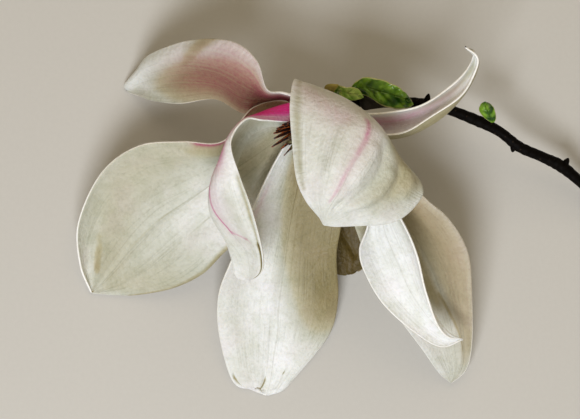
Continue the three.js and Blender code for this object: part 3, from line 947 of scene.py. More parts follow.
def grid_places(piece: bpy.types.Object) -> tuple[Array, Array]:
    """Read where a grid's points are on it from its UV map.

    Args:
        piece: The bent grid.

    Returns:
        The places across and the places along, one of each for every point.
    """
    mesh = piece.data
    corners = np.empty(len(mesh.loops), np.int32)
    mesh.loops.foreach_get("vertex_index", corners)
    flat = np.empty(len(mesh.loops) * 2)
    mesh.uv_layers[0].data.foreach_get("uv", flat)
    places = np.zeros((len(mesh.vertices), 2))
    places[corners] = flat.reshape(-1, 2)
    return places[:, 0], places[:, 1]


def clean_up(piece: bpy.types.Object, distance_mm: float = 0.01) -> None:
    """Merge a piece's doubles and point its faces outwards.

    Args:
        piece: The piece.
        distance_mm: How near points are to each other when they become one.
    """
    with edited(piece):
        bpy.ops.mesh.remove_doubles(threshold=distance_mm * MM)
        bpy.ops.mesh.normals_make_consistent(inside=False)


def apply_modifier(piece: bpy.types.Object, kind: str, **settings: object) -> None:
    """Add a modifier to a piece and apply it.

    Args:
        piece: The piece.
        kind: The modifier's type.
        settings: The modifier's own properties.
    """
    modifier = piece.modifiers.new(kind.lower(), kind)
    for key, value in settings.items():
        setattr(modifier, key, value)
    take_up(piece)
    bpy.ops.object.modifier_apply(modifier=modifier.name)


def complete(piece: bpy.types.Object, node: str) -> bpy.types.Object:
    """Shade a piece smooth and let it ride on the part.

    Args:
        piece: The piece.
        node: The solid that it stands for.

    Returns:
        The same piece.
    """
    take_up(piece)
    bpy.ops.object.shade_smooth()
    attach(piece, "root")
    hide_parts(node)
    return piece


def join_pieces(
    name: str, pieces: Sequence[bpy.types.Object], material: bpy.types.Material
) -> bpy.types.Object:
    """Join pieces to one.

    Args:
        name: The whole's name.
        pieces: What is joined.
        material: The whole's material.

    Returns:
        The whole.
    """
    for piece in pieces:
        piece.data.materials.clear()
        piece.data.materials.append(material)
    take_up(*pieces)
    if len(pieces) > 1:
        bpy.ops.object.join()
    whole = pieces[0]
    whole.name = whole.data.name = name
    return whole


@dataclass
class Rod:
    """A round rod along a smooth line, with closed ends."""

    name: str
    path: Sequence[Sequence[float]]  # points of its middle line in millimetres
    radii: Sequence[float]
    sides: int
    rows: int
    ripple: Surface | None = None  # what is added to the radius, for places round and along

    def place(self, u: Array, v: Array) -> Array:
        """Find points of its skin.

        Args:
            u: Places round it, 0 to 1.
            v: Places along it, 0 to 1.

        Returns:
            One point in millimetres for each place.
        """
        steps = np.linspace(0, 1, self.rows + 1)
        line = weights(len(self.path), steps) @ np.array(self.path, float)
        girth = weights(len(self.radii), steps) @ np.array(self.radii, float)
        index = np.rint(v * self.rows).astype(int)
        first, second = (side[index] for side in self._frames(line))
        radius = girth[index] + (self.ripple(u, v) if self.ripple else 0)
        turn = 2 * math.pi * u[:, None]
        return line[index] + radius[:, None] * (np.cos(turn) * first + np.sin(turn) * second)

    def _frames(self, line: Array) -> tuple[Array, Array]:
        """Carry two directions along a line without twisting.

        Args:
            line: The line's points.

        Returns:
            The two directions square to the line, at each of its points.
        """
        heading = np.gradient(line, axis=0)
        heading /= np.linalg.norm(heading, axis=1, keepdims=True)
        side = heading[0][[2, 0, 1]]
        sides = []
        for direction in heading:
            side = side - side @ direction * direction
            side /= np.linalg.norm(side)
            sides.append(side)
        return np.array(sides), np.cross(heading, sides)

    def build(self) -> bpy.types.Object:
        """Bend a grid into the rod and close its ends.

        Returns:
            The new object.
        """
        piece = shaped_grid(self.name, self.sides, self.rows, self.place)
        clean_up(piece, distance_mm=0.001)
        with edited(piece, "DESELECT"):
            bpy.ops.mesh.select_non_manifold()
            bpy.ops.mesh.edge_face_add()
        return piece


# ------------------------------------------------------------------ tepals


@dataclass(frozen=True)
class Stroke:
    """A soft brush stroke of rose pigment or of painted shade on one face of a tepal.

    The path's corners are places on the blade, across and along, and the width is a share of the
    blade's width.
    """

    pigment: Pigment
    face: Face
    width: float
    strength: float
    path: Line
    fade: float = 0.0  # the share of the strength that is lost by the path's end
    firmness: float = 2.0  # 2 for a soft edge, more for a firmer one
    patchiness: float = 0.08
    narrow: float = 0.06  # wider strokes than this are less patchy

    def amount(self, u: Array, v: Array) -> Array:
        """Give how much pigment it leaves at places of the blade.

        Args:
            u: Places across the blade, 0 to 1.
            v: Places along the blade, 0 to 1.

        Returns:
            An amount for each place, 0 for none and 1 for full cover.
        """
        away, reach = line_distance(u, v, self.path)
        share = self.patchiness * min(1, self.narrow / self.width)
        patchy = share * undulation(7 * u, 4 * v, 1)
        cover = np.exp(-((away / self.width) ** self.firmness) * (1 + patchy))
        return self.strength * (1 - self.fade * reach + patchy) * cover


@dataclass(frozen=True)
class Crease:
    """A soft fold in a tepal along a line drawn on it, with its width a share of the blade's."""

    path: Line
    width: float
    depth_mm: float  # below the inner face; less than nothing for a ridge on it

    def depth(self, u: Array, v: Array) -> Array:
        """Give how deep it is at places of the blade, fading at both ends of its line.

        Args:
            u: Places across the blade, 0 to 1.
            v: Places along the blade, 0 to 1.

        Returns:
            A depth in millimetres for each place.
        """
        away, reach = line_distance(u, v, self.path)
        ends = ramp(0, 0.2, reach) * ramp(1, 0.8, reach)
        return self.depth_mm * ends * np.exp(-((away / self.width) ** 2))


@dataclass(frozen=True)
class Notch:
    """A small cut in a tepal's tip, with its place and width across the blade."""

    across: float
    width: float
    depth: float  # a share of the blade's length

    def pull(self, u: Array, v: Array) -> Array:
        """Give how far places near the tip are pulled back along the blade."""
        return self.depth * np.exp(-(((u - self.across) / self.width) ** 2)) * ramp(0.7, 1, v)


@dataclass
class Tepal:
    """One of the flower's nine petal-like leaves, lofted through stations from claw to tip."""

    name: str
    whorl: int
    angle: float
    belly: tuple[tuple[float, ...], tuple[float, ...]] = ((0, 0), (0, 0))
    strokes: tuple[Stroke, ...] = ()
    creases: tuple[Crease, ...] = ()
    notches: tuple[Notch, ...] = ()
    ripple_mm: float = 0.35
    calm_share: float = 0.35  # the waves' height at the midrib, as a share of that at the margins
    seed: int = 1
    columns: int = 84
    rows: int = 140
    claw_thickness: float = 1.2
    midrib_thickness: float = 1.0
    margin_thickness: float = 0.62

    def stations(self) -> Array:
        """List its stations, with the two of the claw in front.

        Returns:
            Rows of points in millimetres, one row for each station.
        """
        traced = BLADES[self.name]
        points = len(traced[0])
        height = (self.whorl + 0.5) * WHORL_STEP
        foot = RECEPTACLE_RADIUS + GAP + CLAW_FLATNESS
        reach = foot + CLAW_LENGTH
        spread = CLAW_HALF_WIDTH / foot / DEG
        across = np.linspace(1, -1, points)
        clasp = [about_axis(height, foot, self.angle + a * spread) for a in across]
        narrowed = spread * foot / reach
        end = [about_axis(height + CLAW_RISE, reach, self.angle + a * narrowed) for a in across]
        return np.array([clasp, end, *traced[:-1], [traced[-1][0]] * points], float)

    def normals(self, u: Array, v: Array) -> Array:
        """Give unit normals of the middle surface.

        Args:
            u: Places across the blade, 0 at the left margin to 1.
            v: Places along the blade, 0 at the claw to 1.

        Returns:
            One normal for each place, on the inner face's side.
        """
        stations = self.stations()
        near = np.minimum(v, 1 - 1 / self.rows)
        step = 0.004
        right, left = (loft(stations, u + s, near) for s in (step, -step))
        ahead, behind = (loft(stations, u, v + s) for s in (step, -step))
        normal = np.cross(right - left, ahead - behind)
        return normal / np.maximum(np.linalg.norm(normal, axis=1, keepdims=True), 1e-9)

    def thickness(self, u: Array, v: Array) -> Array:
        """Give the blade's thickness, which falls towards its margins and tip.

        Args:
            u: Places across the blade, 0 to 1.
            v: Places along the blade, 0 to 1.

        Returns:
            A thickness in millimetres for each place.
        """
        edge = np.maximum(ramp(0.45, 1, np.abs(2 * u - 1)), ramp(0.5, 1, v))
        blade = self.midrib_thickness + (self.margin_thickness - self.midrib_thickness) * edge
        return blade + (self.claw_thickness - blade) * (1 - ramp(0.05, 0.3, v))

    def place(self, u: Array, v: Array) -> Array:
        """Shape the blade: the loft, its two bellies, its folds and the waves of a living margin.

        Args:
            u: Places across the blade, 0 at the left margin to 1.
            v: Places along the blade, 0 at the claw to 1.

        Returns:
            One point in millimetres for each place.
        """
        for notch in self.notches:
            v = v - notch.pull(u, v)
        left, right = (weights(len(side), v) @ np.array(side, float) for side in self.belly)
        off_middle = np.abs(2 * u - 1)
        depth = np.where(u < MIDDLE, left, right) * np.sin(math.pi * off_middle**1.4)
        for crease in self.creases:
            depth = depth + crease.depth(u, v)
        margin = self.calm_share + (1 - self.calm_share) * ramp(0.5, 1, off_middle)
        calm = ramp(0.15, 0.35, v) * ramp(1, 0.93, v)
        waves = self.ripple_mm * undulation(u, v, self.seed) * margin * calm
        points = loft(self.stations(), u, v) + (waves - depth)[:, None] * self.normals(u, v)
        points[:, 2] = np.maximum(points[:, 2], self.thickness(u, v) / 2)
        return points

    def build(self, finishes: Sequence[bpy.types.Material]) -> bpy.types.Object:
        """Make the tepal: a bent sheet, painted, and thickened to two faces and a margin.

        Args:
            finishes: The materials of its inner face, its outer face and its margin.

        Returns:
            The new piece.
        """
        piece = shaped_grid(self.name + "_blade", self.columns, self.rows, self.place)
        self._paint(piece)
        clean_up(piece)
        self._turn_inner_face_up(piece)
        for material in finishes:
            piece.data.materials.append(material)
        apply_modifier(
            piece,
            "SOLIDIFY",
            thickness=self.claw_thickness * MM,
            offset=0.0,
            vertex_group="thickness",
            material_offset=1,
            material_offset_rim=2,
        )
        return complete(piece, self.name)

    def _turn_inner_face_up(self, piece: bpy.types.Object) -> None:
        """Turn the sheet over if its faces don't look to the side of the inner face.

        Args:
            piece: The bent sheet.
        """
        u, v = grid_places(piece)
        index = int(np.argmin(np.abs(u - MIDDLE) + np.abs(v - 0.5)))
        wanted = self.normals(u[index : index + 1], v[index : index + 1])[0]
        if np.dot(piece.data.vertices[index].normal, wanted) < 0:
            with edited(piece):
                bpy.ops.mesh.flip_normals()

    def _paint(self, piece: bpy.types.Object) -> None:
        """Write the rose pigment, the painted shade and the thickness to the blade's points.

        Args:
            piece: The bent sheet.
        """
        u, v = grid_places(piece)
        for pigment in Pigment:
            for face in Face:
                total = np.zeros(u.shape)
                for stroke in self.strokes:
                    if (stroke.pigment, stroke.face) == (pigment, face):
                        total = np.maximum(total, stroke.amount(u, v))
                layer = piece.data.attributes.new(pigment.layer(face), "FLOAT", "POINT")
                layer.data.foreach_set("value", total.astype(np.float32))
        group = piece.vertex_groups.new(name="thickness")
        share = self.thickness(u, v) / self.claw_thickness
        for index, value in enumerate(share.tolist()):
            group.add([index], value, "REPLACE")


@dataclass
class Leaf:
    """A young leaf or a scale, lofted through stations from its stalk to its tip."""

    name: str
    slot: str
    puckers: float = 0.0  # depth of the swellings between its side veins, in millimetres
    veins: int = 6
    forward: float = 0.9  # how many veins' steps a side vein slants to the tip
    columns: int = 32
    rows: int = 60
    thickness_mm: float = 0.7

    def place(self, u: Array, v: Array) -> Array:
        """Shape the leaf: the loft, with its skin swollen between veins that slant forward.

        Args:
            u: Places across the leaf, 0 to 1.
            v: Places along the leaf, 0 at the stalk to 1.

        Returns:
            One point in millimetres for each place.
        """
        stations = [row if len(row) > 1 else row * 3 for row in BLADES[self.name]]
        points = loft(np.array(stations, float), u, v)
        slant = v * self.veins - self.forward * np.abs(2 * u - 1)
        swelling = np.abs(np.sin(math.pi * slant)) * np.sin(math.pi * u) ** 0.5
        points[:, 2] += self.puckers * (swelling - 0.5) * ramp(0.1, 0.3, v) * ramp(1, 0.9, v)
        return points

    def build(self, material: bpy.types.Material) -> bpy.types.Object:
        """Make the leaf as a thin sheet with two faces.

        Args:
            material: Its finish.

        Returns:
            The new piece.
        """
        piece = shaped_grid(self.name + "_blade", self.columns, self.rows, self.place)
        clean_up(piece)
        piece.data.materials.append(material)
        apply_modifier(piece, "SOLIDIFY", thickness=self.thickness_mm * MM, offset=0.0)
        return complete(piece, self.name)


# ------------------------------------------------------------------ the flower's middle


@dataclass
class FlowerMiddle:
    """Receptacle, stamens and carpels, which stand on the flower's axis."""

    rings: int = 4
    per_ring: int = 13
    stamen_length: float = 10.0
    stamen_half_width: float = 0.6
    collar_radius: float = 3.8
    ring_step: float = 0.7
    droop: float = 205.0  # the side of the axis on which the stamens splay the most, an angle
    lean: float = 0.16  # how far every stamen leans out, in shares of its length
    droop_lean: float = 0.46  # and how much further on the drooping side
    cone_radius: float = 2.0
    cone_length: float = 10.0
    style_rings: int = 5
    styles_per_ring: int = 6
    scar_mm: float = 0.12
    flute_mm: float = 0.05
    rib_mm: float = 0.06
    style_girths: tuple[float, ...] = (0.55, 0.55, 0.4, 0.2)
    # The receptacle's heights up the axis, and its radius at each of them.
    heights: tuple[float, ...] = (-2.5, -1.9, -1.25, 3.0, 7.0, 7.7, RECEPTACLE_TOP)
    radii: tuple[float, ...] = (3.4, 4.0, 4.2, 4.2, 4.2, 4.0, 3.6)

    @property
    def collar_height(self) -> float:
        """Give the height of the collar that the stamens stand in."""
        return (self.rings + 0.5) * self.ring_step

    def scars(self, u: Array, v: Array) -> Array:
        """Hollow the receptacle in rings, where the claws sit, and flute it faintly."""
        rings = self.scar_mm * np.abs(np.sin(9 * math.pi * v))
        return -rings - self.flute_mm * np.cos(14 * math.pi * u)

    def rib(self, u: Array, v: Array) -> Array:
        """Press a stamen's rod to a strap with a raised rib on each face."""
        strap = -0.42 * self.stamen_half_width * np.sin(2 * math.pi * u) ** 2
        return strap + self.rib_mm * np.cos(8 * math.pi * u)

    def build_receptacle(self, material: bpy.types.Material) -> bpy.types.Object:
        """Make the short axis that every tepal's claw stands on, with its scars.

        Args:
            material: Its finish.

        Returns:
            The new piece.
        """
        path = [about_axis(height) for height in self.heights]
        rod = Rod("receptacle_axis", path, self.radii, 40, 60, self.scars)
        piece = join_pieces("receptacle_axis", [rod.build()], material)
        return complete(piece, "receptacle")

    def build_stamens(self, material: bpy.types.Material) -> bpy.types.Object:
        """Make the rings of flat stamens and the collar that they stand in.

        Args:
            material: Their finish.

        Returns:
            The new piece.
        """
        start = RECEPTACLE_TOP + GAP
        collar = [about_axis(start + s * self.collar_height) for s in (0, 0.33, 0.67, 1)]
        pieces = [Rod("collar", collar, (self.collar_radius,) * 4, 24, 6).build()]
        wide = self.stamen_half_width
        girths = (wide * 0.75, wide, wide * 0.95, 0.22)
        for ring in range(self.rings):
            for k in range(self.per_ring):
                name = f"stamen_{ring * self.per_ring + k}"
                path = self._stamen_path(ring, k, start + (ring + 0.6) * self.ring_step)
                pieces.append(Rod(name, path, girths, 10, 9, self.rib).build())
        return complete(join_pieces("stamen_rings", pieces, material), "stamens")

    def _stamen_path(self, ring: int, k: int, height: float) -> list[Array]:
        """Bend one stamen outwards, the more the nearer it is to the drooping side.

        Args:
            ring: Its ring, from below.
            k: Its place in the ring.
            height: Where it stands on the collar.

        Returns:
            The points of its middle line.
        """
        angle = 360 * (k + ring * 0.5) / self.per_ring
        fall = max(0.0, math.cos((angle - self.droop) * DEG)) ** 2
        lean = self.lean + self.droop_lean * fall + 0.05 * math.sin(7 * k + 3 * ring)
        reach = self.stamen_length * (1 + 0.1 * math.sin(5 * k + ring))
        foot = self.collar_radius - 0.6
        steps = (0, 0.3, 0.65, 1)
        rises = [height + reach * s * (0.45 + 0.3 * s) for s in steps]
        return [
            about_axis(rise, foot + (0.3 + lean * reach) * s, angle) for rise, s in zip(rises, steps)
        ]

    def build_carpels(self, material: bpy.types.Material) -> bpy.types.Object:
        """Make the spike of carpels: a tapering core with rings of small hooked styles.

        Args:
            material: Their finish.

        Returns:
            The new piece.
        """
        start = RECEPTACLE_TOP + GAP + self.collar_height + GAP
        radius = self.cone_radius
        core = [about_axis(start + s * self.cone_length) for s in (0, 0.5, 0.85, 1)]
        taper = (radius, radius * 0.85, radius * 0.55, 0.5)
        pieces = [Rod("core", core, taper, 16, 12).build()]
        for ring in range(self.style_rings):
            s = 0.12 + 0.74 * ring / (self.style_rings - 1)
            foot, height = radius * (1 - 0.45 * s), start + s * self.cone_length
            for k in range(self.styles_per_ring):
                angle = 360 * (k + ring * 0.5) / self.styles_per_ring
                hook = ((0, -0.9), (0.7, 0.8), (1.9, 1.2), (2.6, 0.7))
                path = [about_axis(height + up, foot + out, angle) for up, out in hook]
                pieces.append(Rod(f"style_{ring}_{k}", path, self.style_girths, 8, 8).build())
        return complete(join_pieces("carpel_spike", pieces, material), "carpels")


# ------------------------------------------------------------------ the twig


@dataclass
class Twig:
    """The cut twig, from its end on the table to the flower, with its small buds."""

    sides: int = 24
    rows: int = 260
    path: tuple[Point, ...] = (
        (121.5, -8.9, 1.9),
        (110.5, 0.6, 4.8),
        (100, 9.5, 8),
        (93, 15, 10.5),
        (86.4, 18, 12.5),
        (78.6, 21.3, 15),
        (71.6, 26.4, 17),
        (63.9, 30.1, 19),
        (54.2, 33.7, 22),
        (45.6, 35.6, 24),
        (37.1, 36.2, 24.6),
        (27.7, 36.4, 24.4),
        (20.5, 37, 23.4),
        (15, 37, 24.2),
    )
    radii: tuple[float, ...] = (
        1.95, 1.85, 1.8, 2.1, 1.8, 1.85, 1.75, 1.95, 1.75, 1.85, 2, 1.95, 2.2, 2.5, 3.2, 3.4,
    )
    # Each bud's foot, its tip and its radius.
    buds: tuple[tuple[Point, Point, float], ...] = (
        ((46, 35.8, 24), (46.8, 39, 26), 1.1),
        ((94, 14.8, 10.2), (95.6, 17.6, 11.4), 1.2),
        ((76.5, 22, 15.6), (76, 19.6, 14.8), 1.1),
    )
    ring_mm: float = 0.07
    ridge_mm: float = 0.05
    wood_share: float = 0.93  # how far the cut wood reaches into the ring of bark
    dome_mm: float = 0.12

    def ripple(self, u: Array, v: Array) -> Array:
        """Ripple the bark in fine rings along the twig and in low ridges that wind round it."""
        rings = self.ring_mm * np.sin(90 * math.pi * v) * np.sin(23 * v)
        return rings + self.ridge_mm * np.cos(2 * math.pi * (3 * u + 7 * v))

    def build(self, bark: bpy.types.Material) -> bpy.types.Object:
        """Make the twig with its buds.

        Args:
            bark: Its finish.

        Returns:
            The new piece.
        """
        path = [*self.path, about_axis(-4.3), about_axis(-2.8)]
        pieces = [Rod("stem", path, self.radii, self.sides, self.rows, self.ripple).build()]
        for number, (foot, tip, radius) in enumerate(self.buds):
            start, end = np.array(foot, float), np.array(tip, float)
            steps = [start + (end - start) * s for s in (0, 0.35, 0.7, 0.9, 1)]
            girths = (radius, radius * 1.05, radius * 0.75, radius * 0.45, 0.2)
            pieces.append(Rod(f"bud_{number}", steps, girths, 16, 12).build())
        return complete(join_pieces("twig_stem", pieces, bark), "twig")

    def cut_face(self, u: Array, v: Array) -> Array:
        """Find points of the slightly domed face of the cut.

        Args:
            u: Places round it, 0 to 1.
            v: Places outwards from the pith, 0 to 1.

        Returns:
            One point in millimetres for each place.
        """
        foot, second = np.array(self.path[0]), np.array(self.path[1])
        outward = (foot - second) / np.linalg.norm(foot - second)
        side = np.cross(outward, (0.0, 0.0, 1.0))
        side /= np.linalg.norm(side)
        turn, out = 2 * math.pi * u[:, None], v[:, None]
        ring = np.cos(turn) * side + np.sin(turn) * np.cross(side, outward)
        reach = self.wood_share * self.radii[0] * out
        return foot + reach * ring + (0.05 + self.dome_mm * (1 - out**2)) * outward

    def build_cut(self, wood: bpy.types.Material) -> bpy.types.Object:
        """Make the twig's cut end: a disc of wood inside the ring of bark.

        Args:
            wood: Its finish, graded from the pith to the bark.

        Returns:
            The new piece.
        """
        piece = shaped_grid("twig_cut_end", 32, 12, self.cut_face)
        clean_up(piece, distance_mm=0.001)
        piece.data.materials.append(wood)
        apply_modifier(piece, "SOLIDIFY", thickness=0.08 * MM, offset=-1.0)
        return complete(piece, "twig")


# ------------------------------------------------------------------ the studio


@dataclass(frozen=True)
class SoftLight:
    """A soft square light that faces the flower, with its place and sides in metres."""

    name: str
    place: Point
    size: float
    watts: float
    colour: str
    aim: Point = (-0.02, 0.0, 0.03)

    def hang(self) -> None:
        """Hang the light and turn it to the flower."""
        data = bpy.data.lights.new(self.name, "AREA")
        data.size, data.energy, data.color = self.size, self.watts, linear(self.colour)[:3]
        lamp = bpy.data.objects.new(self.name, data)
        bpy.context.collection.objects.link(lamp)
        lamp.location = self.place
        beam = Vector(self.aim) - Vector(self.place)
        lamp.rotation_euler = beam.to_track_quat("-Z", "Y").to_euler()


@dataclass
class Studio:
    """Plain pale floor, soft light and the camera that looks straight down."""

    camera_height_mm: float = 835.0
    lens_mm: float = 148.97
    film_mm: float = 36.0
    floor_m: float = 6.0
    haze: str = "#F0E2C6"
    haze_strength: float = 0.3
    lights: tuple[SoftLight, ...] = (
        SoftLight("key", (-0.14, -0.45, 0.7), 0.4, 6.1, "#F0F5FF"),
        SoftLight("fill", (0.05, 0.55, 0.62), 0.6, 1.5, "#FFEFD6"),
    )

    def build(self) -> None:
        """Set up the floor, the lights and the camera."""
        self._floor()
        for light in self.lights:
            light.hang()
        bpy.context.scene.view_settings.view_transform = "Standard"
        world = bpy.data.worlds.new("studio")
        bpy.context.scene.world = world
        world.use_nodes = True
        background = world.node_tree.nodes["Background"]
        background.inputs["Color"].default_value = linear(self.haze)
        background.inputs["Strength"].default_value = self.haze_strength
        self._camera()

    def _floor(self) -> None:
        """Lay a wide floor of pale matt card under the branch."""
        take_up()
        bpy.ops.mesh.primitive_grid_add(x_subdivisions=8, y_subdivisions=8, size=self.floor_m)
        floor = bpy.context.object
        floor.name = "floor"
        floor.data.materials.append(CardFinish().make())

    def _camera(self) -> None:
        """Hang the camera straight above the flower, with the photograph's framing."""
        data = bpy.data.cameras.new("camera")
        data.sensor_width, data.lens, data.sensor_fit = self.film_mm, self.lens_mm, "HORIZONTAL"
        camera = bpy.data.objects.new("camera", data)
        bpy.context.collection.objects.link(camera)
        camera.location = (np.array((0.0, 0.0, self.camera_height_mm)) - ORIGIN) * MM
        bpy.context.scene.camera = camera


# ------------------------------------------------------------------ assembly


def pink(face: Face, width: float, strength: float, *path: tuple[float, float], **look: float) -> Stroke:
    """Paint a stroke of rose pink."""
    return Stroke(Pigment.PINK, face, width, strength, path, **look)


def painted_shade(face: Face, width: float, strength: float, *path: tuple[float, float], **look: float) -> Stroke:
    """Paint a stroke of painted shade, a dull warm grey to olive brown."""
    return Stroke(Pigment.TAN, face, width, strength, path, **look)


IN, OUT = Face.INNER, Face.OUTER

